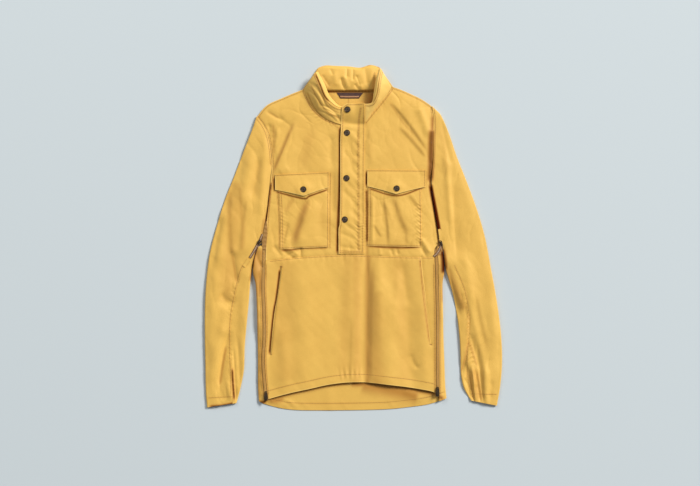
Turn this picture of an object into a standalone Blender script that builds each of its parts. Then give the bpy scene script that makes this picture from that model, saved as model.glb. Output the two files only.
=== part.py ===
"""Anorak pullover laid flat on its back, as the pieces that a maker cuts and sews.

It lies on z = 0 with the collar towards +Y. Left is -X and right is +X, as seen from above.
Tables and sizes are in millimetres from the middle of the outline, and MM turns them to metres.
Every cloth piece is a wall between an outer and an inner grid of points.
"""

import math
from collections import namedtuple

import bmesh
import bpy
import numpy as np
from mathutils import Vector
from mathutils.bvhtree import BVHTree

MM = 0.001

# Cloth and seams
CLOTH = 1.5  # wall of the shell cloth
THIN_CLOTH = 1.0  # wall of pockets, flaps, tapes and facing
COLLAR_CLOTH = 2.4  # two layers and their interlining
SEAM_GAP = 0.3  # between sewn pieces
COLLAR_GAP = 0.6  # measured towards the collar's top edge, across the slanted seam
ARMHOLE_GAP = 0.45  # along X, which leaves about SEAM_GAP across the slanted seam

# How high the laid cloth rises
LAID = 6.4  # top of the front where it lies on the back
LAID_LEAST = 3.4  # deepest trough, which still clears the back
FOLD_DROP = 1.2  # a folded edge is this much lower
FOLD_REACH = 22.0  # how far in from the edge that drop fades
FOLD_ROUND = 3.3  # half width of a folded edge, seen from above
FOLD_LEAST = 1.9  # the same at the armhole, just over a wall
FOLD_STEPS = 3  # points round a folded edge
FOLD_SHARE = 0.6  # of a side strip's width, at most
ARMPIT_FADE = 45.0  # the side folds drop over this length below the armpit
SHOULDER_DROP = 3.0  # the front lies down on the back along the shoulder
SHOULDER_REACH = 12.0
ARMHOLE_DROP = 2.0  # one side of each armhole seam lies this much below the other

ZIP_HALF = 4.2  # half the width of a side zip's tape
ZIP_SUNK = 0.6  # the tape lies this far below the cloth beside it

Side = namedtuple("Side", "y left_fold left_zip right_zip right_fold")
SIDES = [
    Side(-375, -218, -200, 193, 214),
    Side(-339, -220, -204, 193, 211),
    Side(-281, -220, -208, 193, 209),
    Side(-224, -221, -205, 193, 207),
    Side(-166, -222, -206, 193, 206),
    Side(-116, -224, -208, 192, 205),
    Side(-74, -228, -207, 191, 204),
    Side(-42, -224, -206, 190, 203),
    Side(-21, -218, -205, 190, 202),
]
SIDE_TOP = -21.0  # where the side zips end, just below the armpits
SIDE_CORNER = 4.0  # the fronts' corners lie this far below that
ZIP_LOW_LEFT = -373.0  # lower ends of the side zips
ZIP_LOW_RIGHT = -365.0
ZIP_FIRST_ROW = 8.0  # room between a zip's ends and its first and last rows
ZIP_LAST_ROW = 12.0
ZIP_END = 6.0  # the tape stops this far below the top

# Outlines, each from its first point to its last
ARMHOLE_LEFT = [
    (-222, 278),
    (-208, 259),
    (-197, 236),
    (-190, 202),
    (-187, 167),
    (-190, 133),
    (-197, 64),
    (-200, 22),
    (-204, -12),
]
ARMHOLE_RIGHT = [
    (181, 301),
    (185, 266),
    (184, 225),
    (183, 179),
    (179, 137),
    (181, 98),
    (185, 71),
    (194, 13),
    (197, -12),
]
SHOULDER_LEFT = [(-222, 278), (-206, 298), (-192, 309), (-169, 319), (-146, 329), (-116, 341)]
SHOULDER_RIGHT = [(181, 301), (169, 310), (153, 320), (130, 331), (107, 341), (90, 347)]
NECK_LEFT = [(-16, 255), (-39, 262), (-58, 270), (-77, 282), (-95, 301), (-106, 320), (-114, 339)]
NECK_RIGHT = [(8.6, 258), (26, 265), (41, 284), (56, 302), (72, 322), (84, 338), (87, 344)]
WAIST = [(-200, -52), (-123, -44), (-29, -39), (17, -40), (107, -43), (186, -44)]
FRONT_HEM = [(-194, -370), (-146, -357), (-100, -347), (-54, -337), (-8, -332)]
FRONT_HEM += [(38, -333), (84, -338), (130, -344), (176, -352), (188, -357)]
TAIL_HEM = [(-218, -376), (-192, -386), (-146, -395), (-77, -397), (61, -395), (130, -389)]
TAIL_HEM += [(176, -382), (214, -369)]
BACK_NECK = [(-116, 341), (-98, 337), (-66, 336), (-13, 336), (42, 337), (68, 341), (90, 347)]
WAIST_LOW_LEFT = -50  # the waist seam's ends at the side zips
WAIST_LOW_RIGHT = -44
UNDERLAP_EDGE = 8  # the left front runs on under the placket to this x
UNDERLAP_HIGH = 288  # and this far up from the waist
PLACKET_SEAM = 8.6  # the right front starts here, hidden under the placket too
PLACKET_SEAM_HIGH = 286
TAIL_LEVEL = -375  # the tail's rows bend from here to its hem
TAIL_FADE = 6

# Columns of the grids
ARMHOLE_UPPER = 7  # intervals of the armhole above the sleeve's front seam
ARMHOLE_UNDER = 3  # and below it
ARMHOLE_SHARE = 0.9  # how far down the armhole that seam meets it
SHOULDER_STEPS = 5
SIDE_STEPS = 13
BACK_COLUMNS = 10
STRIP_COLUMNS = 3  # of each side strip, before its fold
CHEST_COLUMNS = 13
LOWER_COLUMNS = 24
LOWER_ROWS = 12
ARMPIT_TUCK = 3.0  # the sleeve's ring ends this far above the armpit's corner

# A sleeve's sections: its outer and inner folded edges, how much of the armhole's curve is left,
# how far the folds drop, and where the front seam lies on the way from outer to inner edge
Section = namedtuple("Section", "outer_x outer_y inner_x inner_y bow drop seam")
SLEEVE_LEFT = [
    Section(-222, 278, -205, -12, 1.0, 0.0, 0.90),
    Section(-238, 236, -213, -13, 0.8, 0.3, 0.90),
    Section(-255, 193, -220, -19, 0.6, 0.6, 0.90),
    Section(-275, 140, -226, -33, 0.4, 0.9, 0.91),
    Section(-296, 87, -230, -50, 0.2, 1.0, 0.93),
    Section(-316, 22, -233, -72, 0.1, 1.0, 0.84),
    Section(-331, -37, -237, -100, 0.0, 1.0, 0.77),
    Section(-339, -102, -240, -143, 0.0, 1.0, 0.70),
    Section(-342, -166, -245, -194, 0.0, 1.0, 0.65),
    Section(-342, -231, -250, -249, 0.0, 1.0, 0.66),
    Section(-341, -293, -252, -304, 0.0, 1.0, 0.70),
    Section(-340, -350, -261, -350, 0.0, 1.0, 0.80),
    Section(-337, -390, -269, -380, 0.0, 0.8, 0.90),
]
SLEEVE_RIGHT = [
    Section(181, 301, 198, -12, 1.0, 0.0, 0.90),
    Section(201, 282, 203, -13, 0.8, 0.3, 0.90),
    Section(220, 239, 206, -24, 0.6, 0.6, 0.90),
    Section(238, 186, 208, -42, 0.4, 0.9, 0.91),
    Section(259, 133, 211, -68, 0.2, 1.0, 0.86),
    Section(282, 71, 220, -100, 0.1, 1.0, 0.83),
    Section(302, 4, 231, -139, 0.0, 1.0, 0.78),
    Section(317, -74, 239, -185, 0.0, 1.0, 0.74),
    Section(330, -148, 244, -231, 0.0, 1.0, 0.80),
    Section(339, -217, 246, -272, 0.0, 1.0, 0.88),
    Section(342, -281, 247, -313, 0.0, 1.0, 0.90),
    Section(338, -339, 254, -346, 0.0, 1.0, 0.90),
    Section(330, -386, 270, -374, 0.0, 0.8, 0.90),
]
SLEEVE_RINGS = 17
ARMHOLE_RINGS = 3  # over these rings the columns turn from the armhole's spacing to even

# Soft ridges (rise above 0) and troughs (below 0) of the laid cloth, from start to end
Fold = namedtuple("Fold", "start_x start_y end_x end_y half_width rise")
FOLDS = [
    Fold(31, -20, 28, -335, 12, -3.6),  # the deep trough below the placket
    Fold(-10, -60, -20, -330, 26, 1.8),
    Fold(-84, -60, -78, -330, 30, 1.6),
    Fold(72, -60, 104, -320, 26, 1.8),
    Fold(-140, -90, -128, -250, 26, -1.0),
    Fold(150, -150, 162, -345, 20, 1.2),
    Fold(83, 314, 161, 174, 13, -2.4),  # from the neck towards the right armhole
    Fold(64, 290, 130, 176, 16, 1.8),
    Fold(110, 290, 160, 206, 10, 1.4),
    Fold(-130, 268, -180, 148, 14, -2.4),  # from the left shoulder down to the flap
    Fold(-96, 252, -114, 156, 16, -1.6),
    Fold(-74, 258, -80, 158, 16, 1.6),
    Fold(-156, 266, -172, 200, 11, 1.4),
    Fold(-46, 152, -47, 50, 14, -1.4),
    Fold(100, 60, 106, 180, 30, 0.8),
    Fold(-278, 92, -272, -56, 12, -1.6),  # along the left sleeve
    Fold(-234, 184, -256, 80, 14, 1.6),
    Fold(-300, 60, -318, -60, 16, 1.2),
    Fold(-276, -36, -267, -100, 10, -1.8),
    Fold(-318, -80, -326, -270, 22, 1.6),
    Fold(-289, -226, -308, -342, 10, -2.4),
    Fold(229, 108, 242, -36, 11, -1.8),  # along the right sleeve
    Fold(246, 160, 270, 0, 18, 1.6),
    Fold(219, -66, 240, -176, 12, -1.8),
    Fold(286, -126, 319, -268, 10, -2.6),
    Fold(266, -166, 251, -308, 8, -1.8),
    Fold(270, -164, 309, -326, 11, 2.0),
    Fold(316, -80, 328, -250, 16, 1.4),
]

# The fronts of the collar: their top edge and the height of seam and top, a row for each of the
# neck seam's points, which evenly() gives; both end under the placket
Stand = namedtuple("Stand", "top_x top_y seam_z top_z")
COLLAR_LEFT = [
    Stand(-16, 297, 8.0, 12),
    Stand(-37, 299, 8.0, 15),
    Stand(-54, 310, 8.0, 20),
    Stand(-66, 324, 8.0, 25),
    Stand(-76, 348, 7.4, 28),
    Stand(-88, 377, 6.8, 22),
]
COLLAR_RIGHT = [
    Stand(8.6, 305, 8.0, 13),
    Stand(26, 306, 8.0, 17),
    Stand(43, 308, 8.0, 21),
    Stand(53, 328, 7.8, 27),
    Stand(58, 358, 7.4, 30),
    Stand(63, 385, 6.8, 22),
]
COLLAR_ROWS = 5
COLLAR_BOW = 0.9  # how soon a front rises from its seam
COLLAR_REACH = 4.0  # a front clears what lies within this reach
# The back of the collar lies flat, thick with the stowed hood: its top edge from left to right
COLLAR_BACK_TOP = [(-89, 379), (-84, 387), (-78, 392), (-63, 396), (-42, 395), (-13, 394)]
COLLAR_BACK_TOP += [(15, 391), (38, 397), (56, 393), (62, 389), (65, 383)]
HOOD_THICK = 11.0
HOOD_EDGE = 3.0
HOOD_COLUMNS = 3 * BACK_COLUMNS
HOOD_ROWS = 8
HOOD_SWELL = (0.12, 0.80, 0.7)  # where the swell starts, how far it runs, and how full it is
HOOD_ENDS = 0.45  # how soon it fills from its two ends
GATHERS = [
    Fold(-29, 366, -20, 340, 6, -2.0),
    Fold(-15, 390, -15, 366, 5, -1.8),
    Fold(-1, 388, -1, 362, 5, -1.8),
    Fold(6, 372, 15, 350, 6, -1.8),
    Fold(-54, 388, -47, 374, 6, -1.4),
    Fold(-70, 384, -62, 352, 8, -1.0),
    Fold(26, 392, 32, 352, 7, -1.4),
    Fold(44, 388, 40, 356, 7, 0.8),
]

# Pieces that lie on the fronts: rows of left and right ends
Strip = namedtuple("Strip", "left_x left_y right_x right_y")
PLACKET = [
    Strip(-14, 308, 25, 308),
    Strip(-24, 301, 26, 301),
    Strip(-27, 288, 26, 288),
    Strip(-28, 260, 26, 262),
    Strip(-30, 225, 26, 225),
    Strip(-30, 178, 25, 178),
    Strip(-30, 130, 25, 130),
    Strip(-30, 83, 25, 83),
    Strip(-31, 36, 25, 36),
    Strip(-34, 20, 24, 20),
    Strip(-34, -8, 24, -8),
    Strip(-34, -37, 24, -37),
]
PLACKET_STEPS = 22
PLACKET_COLUMNS = 5
PLACKET_RISE = 6.0  # its top end stands up with the collar
PLACKET_BEND = 262.0  # from here
PLACKET_RUN = 44.0  # over this length
POCKET_LEFT = [
    Strip(-176, 141, -57, 141),
    Strip(-172, 90, -57, 92),
    Strip(-170, 40, -57, 40),
    Strip(-169, -26, -57, -21),
]
POCKET_RIGHT = [
    Strip(33, 150, 155, 149),
    Strip(33, 95, 155, 95),
    Strip(32, 40, 156, 40),
    Strip(31, -18, 156, -21),
]
PLACKET_REACH = 5.0  # it clears what lies within this reach
# Flaps: top edge, side height and the point's drop below the sides
Flap = namedtuple("Flap", "left_x left_y right_x right_y side point point_share")
FLAP_LEFT = Flap(-180, 145, -56, 151, 35, 17, 0.53)
FLAP_RIGHT = Flap(32, 156, 166, 155, 38, 17, 0.49)
FLAP_BEND = 1.15  # 1 gives straight edges to the point
FLAP_REACH = 8.0
POCKET_PUFF = 2.0
FLAP_PUFF = 0.8
PUFF_FULL = 0.5  # how soon a pocket fills from its edges

# The welts of the hand pockets, from top to bottom
WELT_WIDTH = 6.0
WELT_LEFT = [(-167, -70), (-170, -97), (-175, -132), (-181, -166), (-185, -201), (-191, -267)]
WELT_RIGHT = [(155, -45), (158, -74), (162, -109), (167, -143), (171, -178), (177, -244)]
UNDERARM_WIDTH = 6.5
UNDERARM_LEFT = [(-217, 4), (-223, -9), (-231, -23), (-239, -38), (-245, -50)]
UNDERARM_RIGHT = [(197, -24), (195, -31), (191, -39), (185, -47)]

# Inside the back neck
FACING = [
    Strip(-100, 334.5, 66, 334.5),
    Strip(-92, 315, 54, 315),
    Strip(-68, 292, 32, 292),
]
PATCH_CENTRE = (-9, 327)
PATCH_SIZE = (40, 9)
PATCH_TAPER = 0.7  # its lower edge is shorter by this
HANGER_WIDTH = 3.6
HANGER_REACH = 5.0
HANGER = [(-39, 333), (-28, 323), (8, 323), (20, 333)]

# Snaps
SNAP_RADIUS = 7.0
SNAP_HEIGHT = 2.4
SNAP_SIDES = 16
SNAP_FOOT = 0.75  # the share of the radius that it stands on
# its rim and its sunk middle: shares of the radius and of the height
SNAP_PROFILE = [(0.86, 0.0), (1.0, 0.4), (0.93, 1.0), (0.74, 0.92), (0.62, 0.62)]
Snap = namedtuple("Snap", "name x y")
SNAPS = [
    Snap("snap_collar", -14, 294),
    Snap("snap_placket_1", -15, 241),
    Snap("snap_placket_2", -16, 137),
    Snap("snap_placket_3", -20, 42),
    Snap("snap_flap_left", -115, 111),
    Snap("snap_flap_right", 99, 113),
]

# Hem sliders and their pull tabs
SLIDER_LENGTH = 10.0
SLIDER_NOSE = 6.4  # width at the end towards the hem
SLIDER_WIDTH = 9.2  # width at the shoulders
SLIDER_THICK = 2.6
SLIDER_SHOULDER = 0.3  # where the nose ends, as a share of the half length
BRIDGE_WALL = 1.2
BRIDGE_SUNK = 0.5  # its feet go this deep into the body
BRIDGE_BEVEL = 0.4  # of its thickness
BRIDGE_WIDTH = 2.2
BRIDGE_LENGTH = 8.0
BRIDGE_CLEAR = 2.2  # room under the bridge for the tab's pin
BRIDGE_THICK = 1.0
PIN_RADIUS = 0.65
TAB_LENGTH = 17.0
TAB_WIDE = 8.0
TAB_NARROW = 4.4
TAB_THICK = 1.3
TAB_SLOT = 3.2  # inner width of the eye that the bridge passes through
TAB_EYE = 5.2  # how far that eye reaches from the pin
TAB_SHOULDER = 6.6  # where it starts to narrow
TAB_CORNER = 1.6  # length of its cut corners
TAB_END = 0.6  # width of its end, as a share of its narrow width
TAB_HOLE = 1.1  # radius of the hole near the free end
TAB_HOLE_IN = 3.2  # how far that hole lies from the end
TAB_HOLE_SIDES = 10
CUTTER = 3.0  # half the height of the tools that cut the tab
TAB_DROOP = math.radians(3)
Slider = namedtuple("Slider", "side x y")
HEM_SLIDERS = [Slider("left", -201, -369), Slider("right", 193, -359)]
UNDERARM_SLIDERS = [Slider("left", -218, -3), Slider("right", 196, -17)]

# Finish: colour as linear RGB, roughness, metallic
MUSTARD = (0.80, 0.50, 0.12)
TAPE = (0.52, 0.28, 0.09)
BROWN = (0.07, 0.03, 0.02)
BRONZE = (0.13, 0.11, 0.08)


# ---- curves -------------------------------------------------------------------------------------


def smooth_curve(points, per_span=12):
    """A Catmull-Rom curve through the points, as a dense array."""
    p = np.array(points, float)
    p = np.vstack([2 * p[0] - p[1], p, 2 * p[-1] - p[-2]])
    out = []
    for i in range(1, len(p) - 2):
        for k in range(per_span):
            t = k / per_span
            out.append(
                0.5
                * (
                    2 * p[i]
                    + (p[i + 1] - p[i - 1]) * t
                    + (2 * p[i - 1] - 5 * p[i] + 4 * p[i + 1] - p[i + 2]) * t**2
                    + (3 * p[i] - 3 * p[i + 1] + p[i + 2] - p[i - 1]) * t**3
                )
            )
    out.append(p[-2])
    return np.array(out)


def at_shares(line, shares):
    """The points of a dense line at the given shares of its length."""
    step = np.linalg.norm(np.diff(line[:, :2], axis=0), axis=1)
    along = np.concatenate([[0], np.cumsum(step)])
    want = np.array(shares) * along[-1]
    return np.stack([np.interp(want, along, line[:, k]) for k in range(line.shape[1])], axis=1)


def evenly(points, steps):
    """steps + 1 points, evenly along the smooth curve through the given ones."""
    return at_shares(smooth_curve(points), np.linspace(0, 1, steps + 1))


def by_row(table, steps):
    """A table of rows made finer: steps + 1 rows, evenly from the first to the last."""
    fine = smooth_curve(np.array(table, float), 16)
    pick = np.linspace(0, len(fine) - 1, steps + 1)
    spots = np.arange(len(fine))
    return np.stack([np.interp(pick, spots, fine[:, k]) for k in range(fine.shape[1])], axis=1)


SIDE_CURVE = smooth_curve(SIDES)


def side_at(y, column):
    """One column of SIDES at any height y."""
    at = Side._fields.index(column)
    return float(np.interp(y, SIDE_CURVE[:, 0], SIDE_CURVE[:, at]))


def level_at(outline, x):
    """The y of an outline, given from left to right, at any x."""
    line = smooth_curve(outline)
    return float(np.interp(x, line[:, 0], line[:, 1]))


def ease(share):
    share = min(max(share, 0.0), 1.0)
    return share * share * (3 - 2 * share)


# ---- height of the laid cloth -------------------------------------------------------------------


def fold_rise(x, y, folds=FOLDS):
    """What the ridges and troughs add at a place. Each one fades out past its two ends."""
    rise = 0.0
    for f in folds:
        run_x = f.end_x - f.start_x
        run_y = f.end_y - f.start_y
        length = math.hypot(run_x, run_y)
        share = ((x - f.start_x) * run_x + (y - f.start_y) * run_y) / length**2
        across = abs((x - f.start_x) * run_y - (y - f.start_y) * run_x) / length
        taper = ease((share + 0.15) / 0.3) * ease((1.15 - share) / 0.3)
        rise += f.rise * taper * math.exp(-((across / f.half_width) ** 2))
    return rise


def side_drop(x, y):
    """The drop towards the body's two side folds, below the armpits."""
    if y > SIDE_TOP:
        return 0.0
    fade = ease((SIDE_TOP - y) / ARMPIT_FADE)
    left = max(x - side_at(y, "left_fold"), 0) / FOLD_REACH
    right = max(side_at(y, "right_fold") - x, 0) / FOLD_REACH
    return FOLD_DROP * fade * (math.exp(-(left**2)) + math.exp(-(right**2)))


def laid(x, y):
    """The top of the front cloth over the body."""
    return max(LAID + fold_rise(x, y) - side_drop(x, y), LAID_LEAST)


# ---- meshes -------------------------------------------------------------------------------------


def material(name, colour, roughness=0.85, metallic=0.0):
    made = bpy.data.materials.new(name)
    made.use_nodes = True
    shader = made.node_tree.nodes["Principled BSDF"]
    shader.inputs["Base Color"].default_value = (*colour, 1)
    shader.inputs["Roughness"].default_value = roughness
    shader.inputs["Metallic"].default_value = metallic
    made.diffuse_color = (*colour, 1)
    return made


def link(name, bm, colour, roughness=0.85, metallic=0.0):
    mesh = bpy.data.meshes.new(name)
    bm.to_mesh(mesh)
    bm.free()
    mesh.materials.append(material(name, colour, roughness, metallic))
    mesh.shade_smooth()
    mesh.set_sharp_from_angle(angle=math.radians(40))
    made = bpy.data.objects.new(name, mesh)
    bpy.context.scene.collection.objects.link(made)
    return made


def wall(name, outer, inner, colour, keep=None):
    """A closed wall between two grids of points, given in millimetres.

    Seen from the outer side, rows run up and columns run right. keep(row, column) says which
    quads there are, so that a wall may have a stepped edge.
    """
    rows = len(outer)
    cols = len(outer[0])
    bm = bmesh.new()
    verts = {}

    def vert(side, r, c):
        if (side, r, c) not in verts:
            point = (outer, inner)[side][r][c]
            verts[side, r, c] = bm.verts.new([k * MM for k in point])
        return verts[side, r, c]

    def there(r, c):
        return 0 <= r < rows - 1 and 0 <= c < cols - 1 and (keep is None or keep(r, c))

    for r in range(rows - 1):
        for c in range(cols - 1):
            if not there(r, c):
                continue
            corners = [(r, c), (r, c + 1), (r + 1, c + 1), (r + 1, c)]
            bm.faces.new([vert(0, *k) for k in corners])
            bm.faces.new([vert(1, *k) for k in reversed(corners)])
            beyond = [(r - 1, c), (r, c + 1), (r + 1, c), (r, c - 1)]
            for i in range(4):
                if not there(*beyond[i]):
                    a = corners[i]
                    b = corners[(i + 1) % 4]
                    bm.faces.new([vert(0, *b), vert(0, *a), vert(1, *a), vert(1, *b)])
    bmesh.ops.triangulate(bm, faces=bm.faces)
    return link(name, bm, colour)


def sheet(name, top, thick, colour):
    """A wall of one thickness, measured straight down from its top grid."""
    under = [[(x, y, z - thick) for x, y, z in row] for row in top]
    return wall(name, top, under, colour)


PLACED = []


def place(made):
    """Lets later pieces lie on this one."""
    bm = bmesh.new()
    bm.from_mesh(made.data)
    PLACED.append(BVHTree.FromBMesh(bm))
    bm.free()
    return made


def height_under(x, y, reach=3.0):
    """The top of what is placed so far, within reach of a place, in millimetres."""
    best = 0.0
    for dx in (-1.0, -0.5, 0.0, 0.5, 1.0):
        for dy in (-1.0, -0.5, 0.0, 0.5, 1.0):
            start = Vector(((x + dx * reach) * MM, (y + dy * reach) * MM, 1))
            for tree in PLACED:
                hit = tree.ray_cast(start, Vector((0, 0, -1)))[0]
                if hit is not None:
                    best = max(best, hit.z / MM)
    return best


def lying_on(rows, columns, steps, thick, puff=0.0, reach=3.0, least=None):
    """The top grid of a piece that lies on what is placed, from rows of left and right ends.

    least(x, y) is a height that it does not sag below where nothing is under it.
    """
    grid = []
    table = by_row(rows, steps)
    for r, (left_x, left_y, right_x, right_y) in enumerate(table):
        row = []
        for c in range(columns + 1):
            share = c / columns
            x = left_x + (right_x - left_x) * share
            y = left_y + (right_y - left_y) * share
            fill = math.sin(math.pi * share) * math.sin(math.pi * r / steps)
            swell = puff * max(fill, 0.0) ** PUFF_FULL
            under = height_under(x, y, reach)
            if least:
                under = max(under, least(x, y))
            row.append((x, y, under + SEAM_GAP + thick + swell))
        grid.append(row)
    return grid[::-1]


# ---- body ---------------------------------------------------------------------------------------


def armhole_shares():
    upper = np.linspace(0, ARMHOLE_SHARE, ARMHOLE_UPPER + 1)
    under = np.linspace(ARMHOLE_SHARE, 1, ARMHOLE_UNDER + 1)
    return np.concatenate([upper, under[1:]])


def armhole(points):
    """The armhole from the shoulder to the armpit, as the seam's shared points."""
    return at_shares(smooth_curve(points), armhole_shares())


def grid_between(left, right, columns, height):
    """Rows from each left point to its right point."""
    grid = []
    for a, b in zip(left, right):
        row = []
        for c in range(columns + 1):
            share = c / columns
            x = a[0] + (b[0] - a[0]) * share
            y = a[1] + (b[1] - a[1]) * share
            row.append((x, y, height(x, y)))
        grid.append(row)
    return grid


def on_waist(grid):
    """Bends a chest panel's lowest row to the waist seam."""
    grid[0] = [(x, level_at(WAIST, x), laid(x, level_at(WAIST, x))) for x, _, _ in grid[0]]
    return grid


def near_seams(outer, grid, first, armhole_drop=0.0):
    """Lets a chest panel lie down on the back along the shoulder, which its rows from the first
    one reach, and drops its edge along the armhole, which the rows before it reach."""
    edge = 0 if abs(grid[0][0][0] - outer[0][0]) < SEAM_GAP else -1
    for r, row in enumerate(grid):
        if 1 < r < first:
            x, y, z = row[edge]
            row[edge] = (x, y, max(z - armhole_drop, LAID_LEAST))
        if r < first:
            continue
        for c, (x, y, z) in enumerate(row):
            away = math.hypot(x - outer[r][0], y - outer[r][1])
            drop = SHOULDER_DROP * math.exp(-((away / SHOULDER_REACH) ** 2))
            row[c] = (x, y, max(z - drop, LAID_LEAST))
    return grid


def chest_outer(column, low, into, hole, shoulder):
    """A chest panel's outer line: from the waist up the side zip, the armhole and the shoulder.

    into is 1 where the panel lies to the right of its zip and -1 where it lies to the left.
    """
    beside = into * (ZIP_HALF + SEAM_GAP)
    outer = [(side_at(low, column) + beside, low)]
    outer.append((side_at(SIDE_TOP, column) + beside, SIDE_TOP - SIDE_CORNER))
    outer += [tuple(p) for p in armhole(hole)[::-1]]
    return outer + [tuple(p) for p in evenly(shoulder, SHOULDER_STEPS)[1:]]


def chest_inner(x, high, rows, neck):
    """Its inner line: straight up under the placket and round the neck."""
    low = level_at(WAIST, x)
    inner = [(x, low + high * k / (rows - 1)) for k in range(rows)]
    return inner + [tuple(p) for p in evenly(neck, SHOULDER_STEPS)]


def chest_left():
    outer = chest_outer("left_zip", WAIST_LOW_LEFT, 1, ARMHOLE_LEFT, SHOULDER_LEFT)
    centre = len(outer) - SHOULDER_STEPS - 1
    inner = chest_inner(UNDERLAP_EDGE, UNDERLAP_HIGH, centre, NECK_LEFT)
    grid = on_waist(grid_between(outer, inner, CHEST_COLUMNS, laid))
    grid = near_seams(outer, grid, centre)
    return place(sheet("chest_left", grid, CLOTH, MUSTARD))


def chest_right():
    outer = chest_outer("right_zip", WAIST_LOW_RIGHT, -1, ARMHOLE_RIGHT, SHOULDER_RIGHT)
    centre = len(outer) - SHOULDER_STEPS - 1
    inner = chest_inner(PLACKET_SEAM, PLACKET_SEAM_HIGH, centre, NECK_RIGHT)
    grid = on_waist(grid_between(inner, outer, CHEST_COLUMNS, laid))
    grid = near_seams(outer, grid, centre, ARMHOLE_DROP)
    return place(sheet("chest_right", grid, CLOTH, MUSTARD))


def lower_front():
    """From the waist seam to the front hem, between the side zips."""
    grid = []
    for r in range(LOWER_ROWS + 1):
        down = 1 - r / LOWER_ROWS
        row = []
        for c in range(LOWER_COLUMNS + 1):
            share = c / LOWER_COLUMNS
            y = WAIST_LOW_LEFT
            # The zips bend with y, and the seams with x, so each follows the other a few times
            for _ in range(4):
                left = side_at(y, "left_zip") + ZIP_HALF + SEAM_GAP
                right = side_at(y, "right_zip") - ZIP_HALF - SEAM_GAP
                x = left + (right - left) * share
                top = level_at(WAIST, x) - 2 * SEAM_GAP
                y = top + (level_at(FRONT_HEM, x) - top) * down
            row.append((x, y, laid(x, y)))
        grid.append(row)
    return place(sheet("lower_front", grid, CLOTH, MUSTARD))


def fold_arc(thick, high, half, centre_x, way):
    """Points round a folded side edge, from its foot on the floor up to its top.

    way is -1 on the left and 1 on the right. thick is 0 for the outer side.
    """
    arc = []
    for k in range(1, FOLD_STEPS + 1):
        angle = -math.pi / 2 + k * math.pi / (FOLD_STEPS + 1)
        x = centre_x + way * (half - thick) * math.cos(angle)
        z = high / 2 + (high / 2 - thick) * math.sin(angle)
        arc.append((x, z))
    return arc


def back_row(y, columns, thick):
    """One row of the back below the armpits: left strip, fold, bottom, fold, right strip."""
    left = side_at(y, "left_fold")
    right = side_at(y, "right_fold")
    zip_left = side_at(y, "left_zip") - ZIP_HALF - SEAM_GAP
    zip_right = side_at(y, "right_zip") + ZIP_HALF + SEAM_GAP
    half_left = min(FOLD_ROUND, (zip_left - left) * FOLD_SHARE)
    half_right = min(FOLD_ROUND, (right - zip_right) * FOLD_SHARE)
    foot_left = left + half_left
    foot_right = right - half_right
    high_left = laid(foot_left, y)
    high_right = laid(foot_right, y)
    row = []
    for share in np.linspace(1, 0, STRIP_COLUMNS):
        x = foot_left + (zip_left - foot_left) * share
        row.append((x, y, laid(x, y) - thick))
    arc = fold_arc(thick, high_left, half_left, foot_left, -1)
    row += [(x, y, z) for x, z in reversed(arc)]
    for c in range(columns + 1):
        row.append((foot_left + (foot_right - foot_left) * c / columns, y, thick))
    arc = fold_arc(thick, high_right, half_right, foot_right, 1)
    row += [(x, y, z) for x, z in arc]
    for share in np.linspace(0, 1, STRIP_COLUMNS):
        x = foot_right + (zip_right - foot_right) * share
        row.append((x, y, laid(x, y) - thick))
    return row


def back_neck(columns):
    """The back neck seam's points, which the back and the collar share."""
    shared = np.linspace(BACK_NECK[0][0], BACK_NECK[-1][0], BACK_COLUMNS + 1)
    levels = [level_at(BACK_NECK, x) for x in shared]
    return [
        (x, float(np.interp(x, shared, levels)))
        for x in np.linspace(shared[0], shared[-1], columns + 1)
    ]


def back_panel():
    """Flat on the floor, with the side strips folded up and over to the side zips."""
    columns = BACK_COLUMNS
    strip = STRIP_COLUMNS + FOLD_STEPS
    outer = []
    inner = []
    for k in range(SIDE_STEPS + 1):
        y = TAIL_LEVEL + (SIDE_TOP - TAIL_LEVEL) * k / SIDE_STEPS
        down = (1 - k / SIDE_STEPS) ** TAIL_FADE
        pair = []
        for thick in (0.0, CLOTH):
            row = []
            for x, _, z in back_row(y, columns, thick):
                row.append((x, y + (level_at(TAIL_HEM, x) - TAIL_LEVEL) * down, z))
            pair.append(row)
        outer.append(pair[0])
        inner.append(pair[1])
    left = [tuple(p) for p in armhole(ARMHOLE_LEFT)[::-1]]
    left += [tuple(p) for p in evenly(SHOULDER_LEFT, SHOULDER_STEPS)[1:]]
    right = [tuple(p) for p in armhole(ARMHOLE_RIGHT)[::-1]]
    right += [tuple(p) for p in evenly(SHOULDER_RIGHT, SHOULDER_STEPS)[1:]]
    rows = [evenly([a, b], columns) for a, b in zip(left, right)]
    sag = np.array(back_neck(columns)) - rows[-1]
    for k, row in enumerate(rows):
        # The rows above the armholes bend down step by step to the neck seam
        bent = row + sag * max(k + 1 + SHOULDER_STEPS - len(rows), 0) / SHOULDER_STEPS
        for grid, z in ((outer, 0.0), (inner, CLOTH)):
            flat = [(x, y, z) for x, y in bent]
            grid.append([flat[0]] * strip + flat + [flat[-1]] * strip)

    def keep(r, c):
        return r < SIDE_STEPS or strip <= c < strip + columns

    # Seen from outside, that is from below, the columns run the other way
    outer = [row[::-1] for row in outer]
    inner = [row[::-1] for row in inner]
    return place(wall("back_panel", outer, inner, MUSTARD, keep))


# ---- sleeves ------------------------------------------------------------------------------------


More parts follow.
